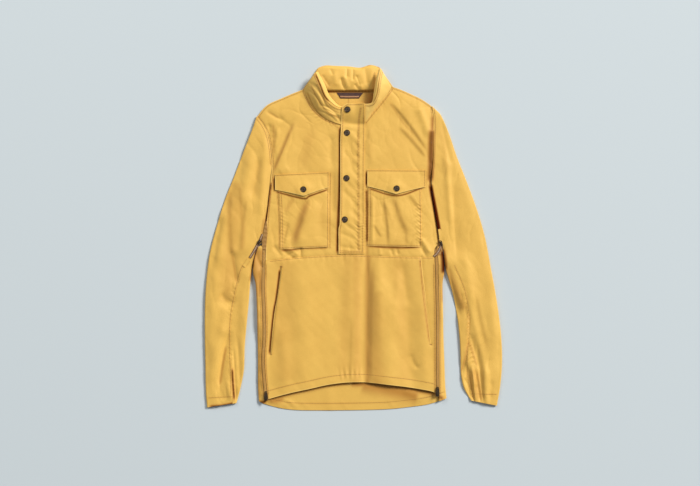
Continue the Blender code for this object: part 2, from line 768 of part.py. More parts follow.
def sleeve(side, table, points, way):
    """Two walls of a flattened tube, parted along the front seam and the same line below.

    way is -1 for the left sleeve and 1 for the right.
    """
    hole = armhole(points)
    upper = ARMHOLE_UPPER
    count = upper + ARMHOLE_UNDER + 1
    chord = hole[-1] - hole[0]
    length = np.linalg.norm(chord)
    run = chord / length
    square = np.array([-run[1], run[0]])
    hole_share = (hole - hole[0]) @ run / length
    hole_bow = (hole - hole[0]) @ square
    rings = by_row(table, SLEEVE_RINGS)
    grids = {"upper": ([], []), "under": ([], [])}
    for r, values in enumerate(rings):
        s = Section(*values)
        a = np.array([s.outer_x, s.outer_y])
        b = np.array([s.inner_x, s.inner_y])
        line = b - a
        size = np.linalg.norm(line)
        line = line / size
        half = FOLD_ROUND if r else 0.0
        top = []
        for i in range(count):
            if r == 0:
                spot = hole[i] + np.array([way * ARMHOLE_GAP, 0])
                if i == count - 1:
                    spot = spot - run * ARMPIT_TUCK
            else:
                if i <= upper:
                    share = s.seam * i / upper
                else:
                    share = s.seam + (1 - s.seam) * (i - upper) / ARMHOLE_UNDER
                share += (hole_share[i] - share) * max(1 - r / ARMHOLE_RINGS, 0)
                start = a + line * half
                spot = start + line * (size - 2 * half) * share
                spot = spot + np.array([-line[1], line[0]]) * hole_bow[i] * s.bow
            edge = min(np.linalg.norm(spot - a), np.linalg.norm(spot - b)) / FOLD_REACH
            high = LAID + fold_rise(*spot) - FOLD_DROP * s.drop * math.exp(-(edge**2))
            if r == 0 and way < 0:
                high -= ARMHOLE_DROP
            top.append((spot, max(high, LAID_LEAST)))
        for part, first, last in (("upper", 0, upper), ("under", upper, count - 1)):
            for which, thick in enumerate((0.0, CLOTH)):
                ends = top[first : last + 1]
                shift = line * SEAM_GAP * (-1 if part == "upper" else 1)
                if part == "under":
                    ends = ends[::-1]
                # from the seam on top, out to the fold
                row = []
                order = ends[::-1]
                for i, (spot, high) in enumerate(order):
                    p = spot + shift if i == 0 else spot
                    row.append((p[0], p[1], high - thick))
                spot, high = ends[0]
                out = -line if part == "upper" else line
                radius = FOLD_ROUND if r else FOLD_LEAST
                for k in range(1, FOLD_STEPS + 1):
                    angle = math.pi / 2 - k * math.pi / (FOLD_STEPS + 1)
                    p = spot + out * (radius - thick) * math.cos(angle)
                    z = high / 2 + (high / 2 - thick) * math.sin(angle)
                    row.append((p[0], p[1], z))
                for i, (spot, high) in enumerate(ends):
                    p = spot + shift if i == len(ends) - 1 else spot
                    row.append((p[0], p[1], thick))
                grids[part][which].append(row)
    for part, (outer, inner) in grids.items():
        # rows run from the armhole to the cuff; columns run outwards, over the fold and back
        flip = (way < 0) == (part == "upper")
        if flip:
            outer = outer[::-1]
            inner = inner[::-1]
        place(wall(f"sleeve_{part}_{side}", outer[::-1], inner[::-1], MUSTARD))


# ---- collar -------------------------------------------------------------------------------------


def collar_back():
    """Thick with the stowed hood, flat below, gathered above, and thin all round its edge."""
    seam = back_neck(HOOD_COLUMNS)
    edge = evenly(COLLAR_BACK_TOP, HOOD_COLUMNS)
    start, run, full = HOOD_SWELL
    top = []
    under = []
    for r in range(HOOD_ROWS + 1):
        share = r / HOOD_ROWS
        swell = math.sin(math.pi * (start + run * share)) ** full
        row = []
        flat = []
        for c in range(HOOD_COLUMNS + 1):
            x = seam[c][0] + (edge[c][0] - seam[c][0]) * share
            y = seam[c][1] + (edge[c][1] - seam[c][1]) * share + SEAM_GAP * (1 - share)
            fill = swell * max(math.sin(math.pi * c / HOOD_COLUMNS), 0.0) ** HOOD_ENDS
            z = HOOD_EDGE
            if 0 < r < HOOD_ROWS and 0 < c < HOOD_COLUMNS:
                z += (HOOD_THICK - HOOD_EDGE + fold_rise(x, y, GATHERS)) * fill
            row.append((x, y, z))
            flat.append((x, y, 0.0))
        top.append(row)
        under.append(flat)
    return place(wall("collar_back", top, under, MUSTARD))


def collar_front(name, table, seam):
    """A front of the stand collar, rising from the neck seam to its top edge, bowed outwards.

    The seam has a point for each row of the table, and each of its intervals is halved.
    """
    steps = 2 * (len(table) - 1)
    rows = by_row(table, steps)
    grid = []
    for c in range(COLLAR_ROWS + 1):
        share = c / COLLAR_ROWS
        line = []
        for r, values in enumerate(rows):
            s = Stand(*values)
            foot_x = float(np.interp(r / 2, range(len(seam)), [p[0] for p in seam]))
            foot_y = float(np.interp(r / 2, range(len(seam)), [p[1] for p in seam]))
            long = math.hypot(s.top_x - foot_x, s.top_y - foot_y)
            part = COLLAR_GAP / long + (1 - COLLAR_GAP / long) * share
            x = foot_x + (s.top_x - foot_x) * part
            y = foot_y + (s.top_y - foot_y) * part
            z = s.seam_z + (s.top_z - s.seam_z) * math.sin(share * math.pi / 2) ** COLLAR_BOW
            if share:
                z = max(z, height_under(x, y, COLLAR_REACH) + SEAM_GAP + COLLAR_CLOTH)
            line.append((x, y, z))
        grid.append(line)
    if seam[0][0] > seam[-1][0]:
        grid = [line[::-1] for line in grid]
    return place(sheet(name, grid, COLLAR_CLOTH, MUSTARD))


# ---- details on the fronts ----------------------------------------------------------------------


def under_placket(x, y):
    """The laid front, and above it the collar that stands up."""
    return laid(x, y) + PLACKET_RISE * ease((y - PLACKET_BEND) / PLACKET_RUN)


def placket():
    size = (PLACKET_COLUMNS, PLACKET_STEPS)
    grid = lying_on(PLACKET, *size, CLOTH, reach=PLACKET_REACH, least=under_placket)
    return place(sheet("placket", grid, CLOTH, MUSTARD))


def pocket(name, table):
    grid = lying_on(table, 7, 9, THIN_CLOTH, POCKET_PUFF)
    return place(sheet(name, grid, THIN_CLOTH, MUSTARD))


def flap(name, f):
    """A pointed flap that hangs from its top edge over the pocket."""
    columns = 8
    steps = 3
    grid = []
    for r in range(steps + 1):
        down = 1 - r / steps
        row = []
        for c in range(columns + 1):
            share = c / columns
            x = f.left_x + (f.right_x - f.left_x) * share
            top = f.left_y + (f.right_y - f.left_y) * share
            if share < f.point_share:
                point = share / f.point_share
            else:
                point = (1 - share) / (1 - f.point_share)
            y = top - (f.side + f.point * point**FLAP_BEND) * down
            z = height_under(x, y, FLAP_REACH) + SEAM_GAP + THIN_CLOTH
            z += FLAP_PUFF * math.sin(math.pi * share) * down
            row.append((x, y, z))
        grid.append(row)
    return place(sheet(name, grid, THIN_CLOTH, MUSTARD))


def ribbon(name, points, width, steps, colour, thick=THIN_CLOTH, reach=3.0):
    """A narrow strip along a route, lying on what is placed."""
    line = evenly(points, steps)
    run = np.gradient(line, axis=0)
    grid = []
    for p, d in zip(line, run):
        side = np.array([d[1], -d[0]]) / np.linalg.norm(d)
        row = []
        for share in (-0.5, 0.0, 0.5):
            x, y = p + side * width * share
            row.append((x, y, height_under(x, y, reach) + SEAM_GAP + thick))
        grid.append(row)
    return place(sheet(name, grid, thick, colour))


def side_zip(side, low):
    """The tape between the front and the back's strip, a little below both."""
    levels = [low]
    for k in range(SIDE_STEPS + 1):
        y = TAIL_LEVEL + (SIDE_TOP - TAIL_LEVEL) * k / SIDE_STEPS
        if low + ZIP_FIRST_ROW < y < SIDE_TOP - ZIP_LAST_ROW:
            levels.append(y)
    levels.append(SIDE_TOP - ZIP_END)
    grid = []
    for y in levels:
        x = side_at(y, f"{side}_zip")
        row = []
        for share in (-1.0, 0.0, 1.0):
            across = x + share * ZIP_HALF
            row.append((across, y, max(laid(across, y), LAID_LEAST) - ZIP_SUNK))
        grid.append(row)
    return place(sheet(f"side_zip_{side}", grid, THIN_CLOTH, TAPE))


def snap(s):
    """A ring snap: a low domed cap with a raised rim."""
    base = height_under(s.x, s.y, SNAP_RADIUS * SNAP_FOOT) + SEAM_GAP
    bm = bmesh.new()
    rings = []
    for wide, tall in SNAP_PROFILE:
        ring = []
        for k in range(SNAP_SIDES):
            angle = 2 * math.pi * k / SNAP_SIDES
            x = s.x + SNAP_RADIUS * wide * math.cos(angle)
            y = s.y + SNAP_RADIUS * wide * math.sin(angle)
            ring.append(bm.verts.new((x * MM, y * MM, (base + SNAP_HEIGHT * tall) * MM)))
        rings.append(ring)
    for low, high in zip(rings, rings[1:]):
        for k in range(SNAP_SIDES):
            n = (k + 1) % SNAP_SIDES
            bm.faces.new([low[k], low[n], high[n], high[k]])
    bm.faces.new(rings[0][::-1])
    bm.faces.new(rings[-1])
    bmesh.ops.triangulate(bm, faces=bm.faces)
    return place(link(s.name, bm, BRONZE, 0.4, 0.9))


# ---- zip hardware -------------------------------------------------------------------------------


def prism(bm, outline, low, high):
    """Adds an upright prism on an outline given anticlockwise from above."""
    bottom = [bm.verts.new((x, y, low)) for x, y in outline]
    top = [bm.verts.new((x, y, high)) for x, y in outline]
    bm.faces.new(bottom[::-1])
    bm.faces.new(top)
    for i in range(len(outline)):
        n = (i + 1) % len(outline)
        bm.faces.new([bottom[i], bottom[n], top[n], top[i]])


def slider_body(name, x, y, with_bridge=True):
    """A wedge-shaped slider body, narrow towards the hem, with a bridge for the tab."""
    base = height_under(x, y, SLIDER_LENGTH / 2) + SEAM_GAP
    half = SLIDER_LENGTH / 2
    nose = SLIDER_NOSE / 2
    wide = SLIDER_WIDTH / 2
    bm = bmesh.new()
    outline = [
        (-nose, -half),
        (nose, -half),
        (wide, half * SLIDER_SHOULDER),
        (wide, half),
        (-wide, half),
        (-wide, half * SLIDER_SHOULDER),
    ]
    prism(bm, outline, 0, SLIDER_THICK)
    body = link(name, bm, BRONZE, 0.4, 0.9)
    if with_bridge:
        low = SLIDER_THICK - BRIDGE_SUNK
        foot = SLIDER_THICK + BRIDGE_CLEAR
        reach = BRIDGE_LENGTH / 2
        within = reach - BRIDGE_WALL
        bm = bmesh.new()
        side = [
            (-reach, low),
            (-within, low),
            (-within, foot),
            (within, foot),
            (within, low),
            (reach, low),
            (reach, foot + BRIDGE_THICK * BRIDGE_BEVEL),
            (within, foot + BRIDGE_THICK),
            (-within, foot + BRIDGE_THICK),
            (-reach, foot + BRIDGE_THICK * BRIDGE_BEVEL),
        ]
        left = [bm.verts.new((-BRIDGE_WIDTH / 2, v, w)) for v, w in side]
        right = [bm.verts.new((BRIDGE_WIDTH / 2, v, w)) for v, w in side]
        bm.faces.new(left[::-1])
        bm.faces.new(right)
        for i in range(len(side)):
            n = (i + 1) % len(side)
            bm.faces.new([left[i], left[n], right[n], right[i]])
        bridge = link(f"{name}_bridge", bm, BRONZE, 0.4, 0.9)
        join(body, bridge)
    finish_hard(body, x, y, base)
    return body, base


def join(body, other):
    """Unites a second shape with the body and removes it."""
    union = body.modifiers.new("Union", "BOOLEAN")
    union.operation = "UNION"
    union.object = other
    apply_modifiers(body)
    bpy.data.objects.remove(other)


def apply_modifiers(made):
    bpy.context.view_layer.update()
    graph = bpy.context.evaluated_depsgraph_get()
    mesh = bpy.data.meshes.new_from_object(made.evaluated_get(graph))
    made.modifiers.clear()
    made.data = mesh


def finish_hard(made, x, y, z):
    """Turns a piece drawn in millimetres about its own zero to metres, at its place."""
    bm = bmesh.new()
    bm.from_mesh(made.data)
    for v in bm.verts:
        v.co = Vector((v.co.x, v.co.y, v.co.z)) * MM
    bmesh.ops.recalc_face_normals(bm, faces=bm.faces)
    bm.to_mesh(made.data)
    bm.free()
    made.location = (x * MM, y * MM, z * MM)


def pull_tab(name, x, y, pin_z):
    """A tapered tab with an eye round the slider's bridge and a hole at its free end.

    It is drawn lying along +Y with its pin on its own origin, which is the joint's axis along X.
    """
    half_eye = TAB_SLOT / 2
    wide = TAB_WIDE / 2
    narrow = TAB_NARROW / 2
    half_thick = TAB_THICK / 2
    bm = bmesh.new()
    outline = [
        (-wide, -PIN_RADIUS),
        (wide, -PIN_RADIUS),
        (wide, TAB_SHOULDER),
        (narrow, TAB_LENGTH - TAB_CORNER),
        (narrow * TAB_END, TAB_LENGTH),
        (-narrow * TAB_END, TAB_LENGTH),
        (-narrow, TAB_LENGTH - TAB_CORNER),
        (-wide, TAB_SHOULDER),
    ]
    prism(bm, outline, -half_thick, half_thick)
    tab = link(name, bm, BRONZE, 0.35, 0.9)
    cutters = []
    bm = bmesh.new()
    eye = [
        (-half_eye, PIN_RADIUS),
        (half_eye, PIN_RADIUS),
        (half_eye, TAB_EYE),
        (-half_eye, TAB_EYE),
    ]
    prism(bm, eye, -CUTTER, CUTTER)
    cutters.append(link("cut_eye", bm, BRONZE))
    bm = bmesh.new()
    hole = []
    for k in range(TAB_HOLE_SIDES):
        angle = 2 * math.pi * k / TAB_HOLE_SIDES
        spot_y = TAB_LENGTH - TAB_HOLE_IN + TAB_HOLE * math.sin(angle)
        hole.append((TAB_HOLE * math.cos(angle), spot_y))
    prism(bm, hole, -CUTTER, CUTTER)
    cutters.append(link("cut_hole", bm, BRONZE))
    for cutter in cutters:
        cut = tab.modifiers.new("Cut", "BOOLEAN")
        cut.operation = "DIFFERENCE"
        cut.object = cutter
    apply_modifiers(tab)
    for cutter in cutters:
        bpy.data.objects.remove(cutter)
    bm = bmesh.new()
    bm.from_mesh(tab.data)
    for v in bm.verts:
        up = v.co.z * math.cos(TAB_DROOP) - v.co.y * math.sin(TAB_DROOP)
        along = v.co.y * math.cos(TAB_DROOP) + v.co.z * math.sin(TAB_DROOP)
        v.co = Vector((v.co.x, along, up))
    bm.to_mesh(tab.data)
    bm.free()
    finish_hard(tab, x, y, pin_z)
    return tab


def hem_slider(s):
    body, base = slider_body(f"zip_slider_{s.side}", s.x, s.y)
    pin_z = base + SLIDER_THICK + BRIDGE_CLEAR / 2
    pull_tab(f"zip_pull_{s.side}", s.x, s.y, pin_z)


# ---- the whole ----------------------------------------------------------------------------------


def clear_scene():
    for made in list(bpy.data.objects):
        bpy.data.objects.remove(made)


def main():
    clear_scene()
    back_panel()
    place(sheet("neck_facing", lying_on(FACING, 8, 4, THIN_CLOTH), THIN_CLOTH, MUSTARD))
    patch_x, patch_y = PATCH_CENTRE
    half_x = PATCH_SIZE[0] / 2
    half_y = PATCH_SIZE[1] / 2
    low_x = half_x * PATCH_TAPER
    patch = [
        Strip(patch_x - half_x, patch_y + half_y, patch_x + half_x, patch_y + half_y),
        Strip(patch_x - low_x, patch_y - half_y, patch_x + low_x, patch_y - half_y),
    ]
    place(sheet("neck_patch", lying_on(patch, 4, 2, THIN_CLOTH), THIN_CLOTH, BROWN))
    ribbon("hanger_loop", HANGER, HANGER_WIDTH, 10, BROWN, THIN_CLOTH, HANGER_REACH)
    collar_back()
    chest_left()
    chest_right()
    lower_front()
    side_zip("left", ZIP_LOW_LEFT)
    side_zip("right", ZIP_LOW_RIGHT)
    sleeve("left", SLEEVE_LEFT, ARMHOLE_LEFT, -1)
    sleeve("right", SLEEVE_RIGHT, ARMHOLE_RIGHT, 1)
    collar_front("collar_left", COLLAR_LEFT, evenly(NECK_LEFT, SHOULDER_STEPS))
    collar_front("collar_right", COLLAR_RIGHT, evenly(NECK_RIGHT, SHOULDER_STEPS))
    placket()
    pocket("chest_pocket_left", POCKET_LEFT)
    pocket("chest_pocket_right", POCKET_RIGHT)
    flap("pocket_flap_left", FLAP_LEFT)
    flap("pocket_flap_right", FLAP_RIGHT)
    ribbon("pocket_welt_left", WELT_LEFT, WELT_WIDTH, 12, MUSTARD)
    ribbon("pocket_welt_right", WELT_RIGHT, WELT_WIDTH, 12, MUSTARD)
    ribbon("underarm_zip_left", UNDERARM_LEFT, UNDERARM_WIDTH, 6, TAPE)
    ribbon("underarm_zip_right", UNDERARM_RIGHT, UNDERARM_WIDTH, 6, TAPE)
    for s in SNAPS:
        snap(s)
    for s in HEM_SLIDERS:
        hem_slider(s)
    for s in UNDERARM_SLIDERS:
        slider_body(f"underarm_slider_{s.side}", s.x, s.y, False)


main()
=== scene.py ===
import math

import bmesh
import bpy
import numpy as np
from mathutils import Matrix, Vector
from mathutils.bvhtree import BVHTree


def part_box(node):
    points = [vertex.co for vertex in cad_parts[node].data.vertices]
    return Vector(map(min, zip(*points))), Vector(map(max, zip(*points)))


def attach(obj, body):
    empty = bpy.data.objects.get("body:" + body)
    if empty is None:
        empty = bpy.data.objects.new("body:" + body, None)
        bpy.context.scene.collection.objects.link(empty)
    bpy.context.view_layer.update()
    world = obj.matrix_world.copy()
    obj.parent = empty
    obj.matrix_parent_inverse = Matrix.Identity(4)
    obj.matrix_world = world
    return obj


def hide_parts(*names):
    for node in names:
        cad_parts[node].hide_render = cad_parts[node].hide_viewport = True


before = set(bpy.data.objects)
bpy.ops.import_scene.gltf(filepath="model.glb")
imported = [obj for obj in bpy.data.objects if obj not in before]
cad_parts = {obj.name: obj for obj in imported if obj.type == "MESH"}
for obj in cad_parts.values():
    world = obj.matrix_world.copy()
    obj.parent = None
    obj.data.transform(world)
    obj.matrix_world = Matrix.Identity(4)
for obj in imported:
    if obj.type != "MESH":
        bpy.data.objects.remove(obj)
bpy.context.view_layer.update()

# Tables and sizes are in millimetres from the middle of the garment, +y towards the collar.
# Left is -x and right is +x, as seen from above.
mm = 0.001
bothSides = ("left", "right")

# curves


def smoothCurve(points, perSpan=12):  # Catmull-Rom through the points
    p = np.array(points, float)
    p = np.vstack([2 * p[0] - p[1], p, 2 * p[-1] - p[-2]])
    t = np.arange(perSpan)[:, None] / perSpan
    out = []
    for a, b, c, d in zip(p[:-3], p[1:-2], p[2:-1], p[3:]):
        square = (2 * a - 5 * b + 4 * c - d) * t**2
        cube = (3 * b - 3 * c + d - a) * t**3
        out.append(0.5 * (2 * b + (c - a) * t + square + cube))
    return np.vstack(out + [p[-2:-1]])


def lengthAlong(line):
    step = np.linalg.norm(np.diff(line[:, :2], axis=0), axis=1)
    return np.concatenate([[0], np.cumsum(step)])


def atShares(line, shares):
    along = lengthAlong(line)
    want = np.array(shares) * along[-1]
    return np.stack([np.interp(want, along, line[:, k]) for k in range(line.shape[1])], axis=1)


def evenly(points, steps):
    return atShares(smoothCurve(points), np.linspace(0, 1, steps + 1))


def byRow(table, steps):  # a table's rows made finer
    fine = smoothCurve(np.array(table, float), 16)
    pick = np.linspace(0, len(fine) - 1, steps + 1)
    spots = np.arange(len(fine))
    return np.stack([np.interp(pick, spots, fine[:, k]) for k in range(fine.shape[1])], axis=1)


def levelAt(outline, x):
    line = smoothCurve(outline)
    return np.interp(x, line[:, 0], line[:, 1])


def ease(share):
    share = np.clip(share, 0.0, 1.0)
    return share * share * (3 - 2 * share)


def dense(points, spacing=1.5):
    curve = smoothCurve(points)
    steps = max(int(lengthAlong(curve)[-1] / spacing), 2)
    return atShares(curve, np.linspace(0, 1, steps + 1))


def unitRun(line):  # its direction at each point
    run = np.gradient(line, axis=0)
    return run / np.linalg.norm(run, axis=1)[:, None]


def rightOf(line):
    run = unitRun(line)
    return np.column_stack([run[:, 1], -run[:, 0]])


def offset(line, away):  # a parallel line, to the right for a positive distance
    return line + rightOf(line) * away


def routeOf(rows, first=0):  # one edge of a table's rows
    return [(row[first], row[first + 1]) for row in rows]


def turned(x, y, turn):  # the same places on turned axes
    return x * math.cos(turn) + y * math.sin(turn), y * math.cos(turn) - x * math.sin(turn)


def nearLine(x, y, line, reach):
    # which points lie near a line, how far off, on which side (+1 right-hand) and how far along
    low = line.min(axis=0) - reach
    high = line.max(axis=0) + reach
    where = np.nonzero((x > low[0]) & (x < high[0]) & (y > low[1]) & (y < high[1]))[0]
    if len(where) == 0:
        return where, where, where, where
    dx = x[where, None] - line[None, :, 0]
    dy = y[where, None] - line[None, :, 1]
    square = dx * dx + dy * dy
    best = square.argmin(axis=1)
    rows = np.arange(len(where))
    run = unitRun(line)[best]
    dx = dx[rows, best]
    dy = dy[rows, best]
    away = np.sqrt(square[rows, best])
    side = np.sign(dx * run[:, 1] - dy * run[:, 0])
    along = lengthAlong(line)[best] + dx * run[:, 0] + dy * run[:, 1]
    near = away < reach
    return where[near], away[near], side[near], along[near]


# the cut of the garment

cut = {
    "sides": [  # y, left fold, left zip, right zip, right fold
        (-375, -218, -200, 193, 214),
        (-339, -220, -204, 193, 211),
        (-281, -220, -208, 193, 209),
        (-224, -221, -205, 193, 207),
        (-166, -222, -206, 193, 206),
        (-120, -224, -208, 192, 205),
        (-100, -226.5, -208, 192, 205.5),
        (-82, -231, -207, 191, 208.5),
        (-62, -231.2, -207, 191, 209),
        (-42, -227.4, -206, 190, 207),
        (-21, -220, -205, 190, 203.5),
    ],
    "sideTop": -21,
    "armholeLeft": [
        (-222, 278), (-208, 259), (-197, 236), (-190, 202), (-187, 167),
        (-190, 133), (-197, 64), (-200, 22), (-204, -12),
    ],
    "armholeRight": [
        (181, 301), (185, 266), (184, 225), (183, 179), (179, 137),
        (181, 98), (185, 71), (194, 13), (197, -12),
    ],
    "shoulderLeft": [(-222, 278), (-206, 298), (-192, 309), (-169, 319), (-146, 329), (-116, 341)],
    "shoulderRight": [(181, 301), (169, 310), (153, 320), (130, 331), (107, 341), (90, 347)],
    "neckLeft": [
        (-16, 255), (-39, 262), (-58, 270), (-77, 282), (-95, 301), (-106, 320), (-114, 339),
    ],
    "neckRight": [
        (8.6, 258), (26, 265), (41, 284), (56, 302), (72, 322), (84, 338), (87, 344),
    ],
    "waist": [(-200, -52), (-123, -44), (-29, -39), (17, -40), (107, -43), (186, -44)],
    "frontHem": [
        (-194, -370), (-146, -357), (-100, -347), (-54, -337), (-8, -332),
        (38, -333), (84, -338), (130, -344), (176, -352), (188, -357),
    ],
    "tailHem": [
        (-218, -376), (-192, -386), (-146, -395), (-77, -397),
        (61, -395), (130, -389), (176, -382), (214, -369),
    ],
    "backNeck": [(-116, 341), (-98, 337), (-66, 336), (-13, 336), (42, 337), (68, 341), (90, 347)],
    # of the two chest panels: the edge below the placket, its length, the outer corner at the waist
    "frontEdge": {"Left": 8, "Right": 8.6},
    "frontLength": {"Left": 288, "Right": 286},
    "waistCorner": {"Left": -50, "Right": -44},
    "zipHalf": 4.2,
    "seamGap": 0.3,
}

cloth = {
    "thick": 0.8,
    "laid": 6.2,  # height of the front where it lies on the back
    "least": 2.0,
    "foldDrop": 1.6,  # a sleeve's folded edge is this much lower
    "foldReach": 15.0,
    "sideDrop": 2.0,  # and a folded side of the body
    "sideReach": 9.0,
    "sideSwell": 1.6,
    "crinkle": 1.0,  # fine wrinkles
    "lowerCrinkle": 0.3,  # their share below the waist seam
    "foldShade": 0.055,  # how much painted shade a fold gets, for each mm of its height
    "foldRound": 3.1,
    "armpitFade": 45.0,
    "uneven": 0.36,
    "swells": [(150, 1.0), (90, 0.8), (61, 0.6), (37, 0.35), (23, 0.2)],  # wave length, height
    # wave length, direction and height of the fine wrinkles
    "wrinkles": [(43, 0.25, 1.0), (31, -0.4, 0.8), (37, 1.2, 0.5), (21, 0.6, 0.4)],
    "endFade": 0.3,  # share of a fold's length in which it fades out
    "creaseOver": 0.15,  # how far a crease and a step run on past their ends
    "stepOver": 0.1,
    "hemLift": 1.6,  # the front's hem stands up a little
    "hemReach": 22,
    "tailTop": -320,  # below here the back's folds show
    "tailFade": 30,
    "tailLift": 0.3,
}

sideCurve = smoothCurve(cut["sides"])


def sideAt(y, column):
    return np.interp(y, sideCurve[:, 0], sideCurve[:, column])


leftFold, leftZip, rightZip, rightFold = 1, 2, 3, 4

# folds, puckers and gaps of the laid cloth

# start x, y, end x, y, bend, width on the left-hand and right-hand side, sharpness, rise
frontCreases = [
    (31, -12, 26, -350, 0, 34, 15, 1.1, -3.6),  # the deep fold below the placket
    (31, -40, 26, -345, 0, 5, 4, 1.6, -1.6),
    (44, -65, 119, -251, -6, 20, 16, 1.8, 1.2),
    (-112, -70, -112, -330, 0, 30, 30, 2.0, 3.0),
    (8, -60, 8, -345, 0, 15, 30, 2.0, 1.2),
    (75, -120, 82, -350, 0, 24, 34, 2.0, 3.4),
    (58, -40, 60, -230, 0, 12, 14, 2.0, 1.6),
    (-162, -200, -156, -345, 0, 16, 16, 2.0, 2.6),
    (112, -60, 125, -150, 0, 12, 14, 1.6, -2.8),
    (126, -150, 134, -330, 4, 14, 16, 1.8, -2.4),
    (158, -130, 166, -345, 0, 16, 16, 2.0, 2.2),
    (132, -270, 148, -300, 3, 6, 7, 1.4, -1.9),
    (102, -90, 96, -160, 0, 9, 9, 2.0, 1.2),
    (150, 300, 174, 236, 0, 9, 9, 2.0, 2.4),
    (36, 250, 40, 172, 0, 8, 8, 2.0, 1.2),
    (-52, 232, -50, 160, 0, 9, 11, 1.6, -2.0),
    (-199, 291, -162, 270, 2, 6, 4, 1.1, -2.2),
    (-194, 260, -193, 226, 0, 8, 4, 1.3, -3.0),
    (-150, 160, -168, 150, 0, 8, 8, 2.0, 1.2),
    (-46, 152, -47, 50, 0, 10, 12, 1.5, -3.0),
    (-230, -48, -222, -215, 0, 11, 12, 2.0, 5.0),  # the sides bunch up below the armpits
    (209, -52, 205, -190, 0, 10, 10, 2.0, 3.0),
    (-224, -28, -207, -70, 4, 4, 5, 1.2, -2.6),
    (-214, -62, -216, -120, 0, 3, 5, 1.2, -2.2),
    (-70, 92, -74, 0, 0, 12, 12, 2.0, -1.4),
    (-152, 30, -162, -18, 0, 7, 5, 1.3, -2.0),
    (-120, 40, -150, 0, -3, 5, 4, 1.3, -1.4),
    (44, 95, 44, -14, 0, 4, 4, 2.0, 1.6),
    (-182, -20, -166, -42, 0, 4, 4, 1.3, -2.4),
    (157, -4, 176, -34, 0, 5, 5, 1.4, 2.6),
    (150, -10, 166, -42, 0, 4, 4, 1.4, -2.2),
    (86, -26, 90, -40, 0, 3, 3, 2.0, -1.4),
    (100, -25, 102, -39, 0, 3, 3, 2.0, -1.4),
    (60, -24, 62, -40, 0, 4, 4, 2.0, 1.2),
    (-121, -24, -121, -48, 0, 3, 4, 1.2, -2.6),
    (-164, -27, -134, -48, 2, 4, 4, 1.3, -2.4),
    (-152, -26, -128, -38, -2, 4, 4, 1.6, 1.8),
    (-160, -46, -130, -30, 0, 3, 3, 1.4, -1.8),
]

# folds that show as one soft dark line: the cloth is lower on the line's right-hand side
# start x, y, end x, y, bend, half width, how far both sides level out, rise
frontSteps = [
    (-137, 264, -185, 150, 1, 4.0, 34, 5.6),  # from the left shoulder to the flap
    (-178, 252, -184, 186, 0, 3.0, 14, 2.6),
    (-94, 250, -115, 158, 2, 12.0, 40, 1.8),
    (-50, 160, -42, 60, 0, 8.0, 24, 1.4),
    (86, 310, 166, 204, -3, 3.0, 26, 3.2),  # from the neck to the right armhole
    (106, 253, 165, 186, -1, 3.0, 22, 2.4),
    (36, 256, 40, 170, 0, 7.0, 24, 0.9),
    (-104, 88, -137, -16, 2, 8.5, 34, 7.0),  # of the pockets and what lies below them
    (-136, 94, -158, 58, 0, 6.0, 20, 3.0),
    (-150, 30, -163, -16, 0, 4.0, 14, 2.0),
    (-74, 96, -70, 20, 0, 8.0, 26, 1.0),
    (69, 88, 80, -14, -2, 3.4, 18, 3.0),
    (91, 94, 124, 8, 2, 6.0, 26, 3.4),
    (127, 98, 154, 64, 0, 4.0, 18, 2.2),
    (47, 30, 63, 2, 0, 3.0, 12, 1.8),
    (74, 76, 87, 36, 0, 3.0, 12, 1.0),
    (121, 14, 122, -14, 0, 3.5, 12, 1.2),
    (100, 60, 86, 24, 0, 4.0, 14, 0.9),
    (32, -30, 28, -350, 0, 3.4, 16, 2.4),  # of the lower front
    (41, -60, 37, -350, 0, 9.0, 40, 6.0),
    (-4, -186, -8, -335, 0, 6.0, 22, 2.4),
    (-18, -70, -24, -200, 0, 12.0, 34, 1.6),
    (96, -52, 104, -150, 0, 10.0, 30, 1.4),
    (-150, -90, -140, -240, 0, 14.0, 34, 1.4),
]
sleeveSteps = [
    (-286, 96, -281, -36, 0, 7.0, 30, 4.4),
    (-281, -20, -265, -104, 2, 3.6, 20, 3.4),
    (-246, 92, -264, -40, 0, 4.5, 24, 2.8),
    (-216, 176, -232, 100, 0, 7.0, 26, 1.4),
    (202, 262, 214, 150, 0, 8.0, 24, 1.4),  # right sleeve
    (264, -150, 260, -240, 0, 4.0, 20, 2.2),
    (262, -236, 250, -306, 0, 4.0, 16, 2.2),
    (268, -236, 286, -300, 0, 3.5, 14, 1.6),
    (284, -134, 310, -256, 3, 4.0, 22, 1.6),
    (272, -304, 278, -372, 0, 4.0, 14, 1.6),
]

# drag lines of the placket, between its snaps
placketCreases = [
    (-26, 268, 22, 262, 3, 7, 5, 1.6, -1.6),
    (-20, 250, 8, 243, 0, 4, 4, 1.6, -1.0),
    (-8, 232, -2, 158, 2, 5, 7, 1.6, -1.5),
    (10, 226, 14, 150, -2, 6, 6, 2.0, 0.9),
    (-22, 196, 10, 186, 2, 5, 5, 1.6, -1.2),
    (-16, 128, 12, 108, 2, 5, 5, 1.4, -1.6),
    (-24, 108, 2, 84, 0, 5, 5, 1.6, -1.2),
    (2, 92, 0, 52, 0, 6, 6, 1.8, -1.2),
    (-20, 32, 14, 14, 2, 5, 5, 1.4, -1.6),
    (-26, 10, 8, -6, 0, 5, 5, 1.6, -1.0),
    (-28, -20, 16, -28, 0, 4, 4, 1.6, -1.2),
]

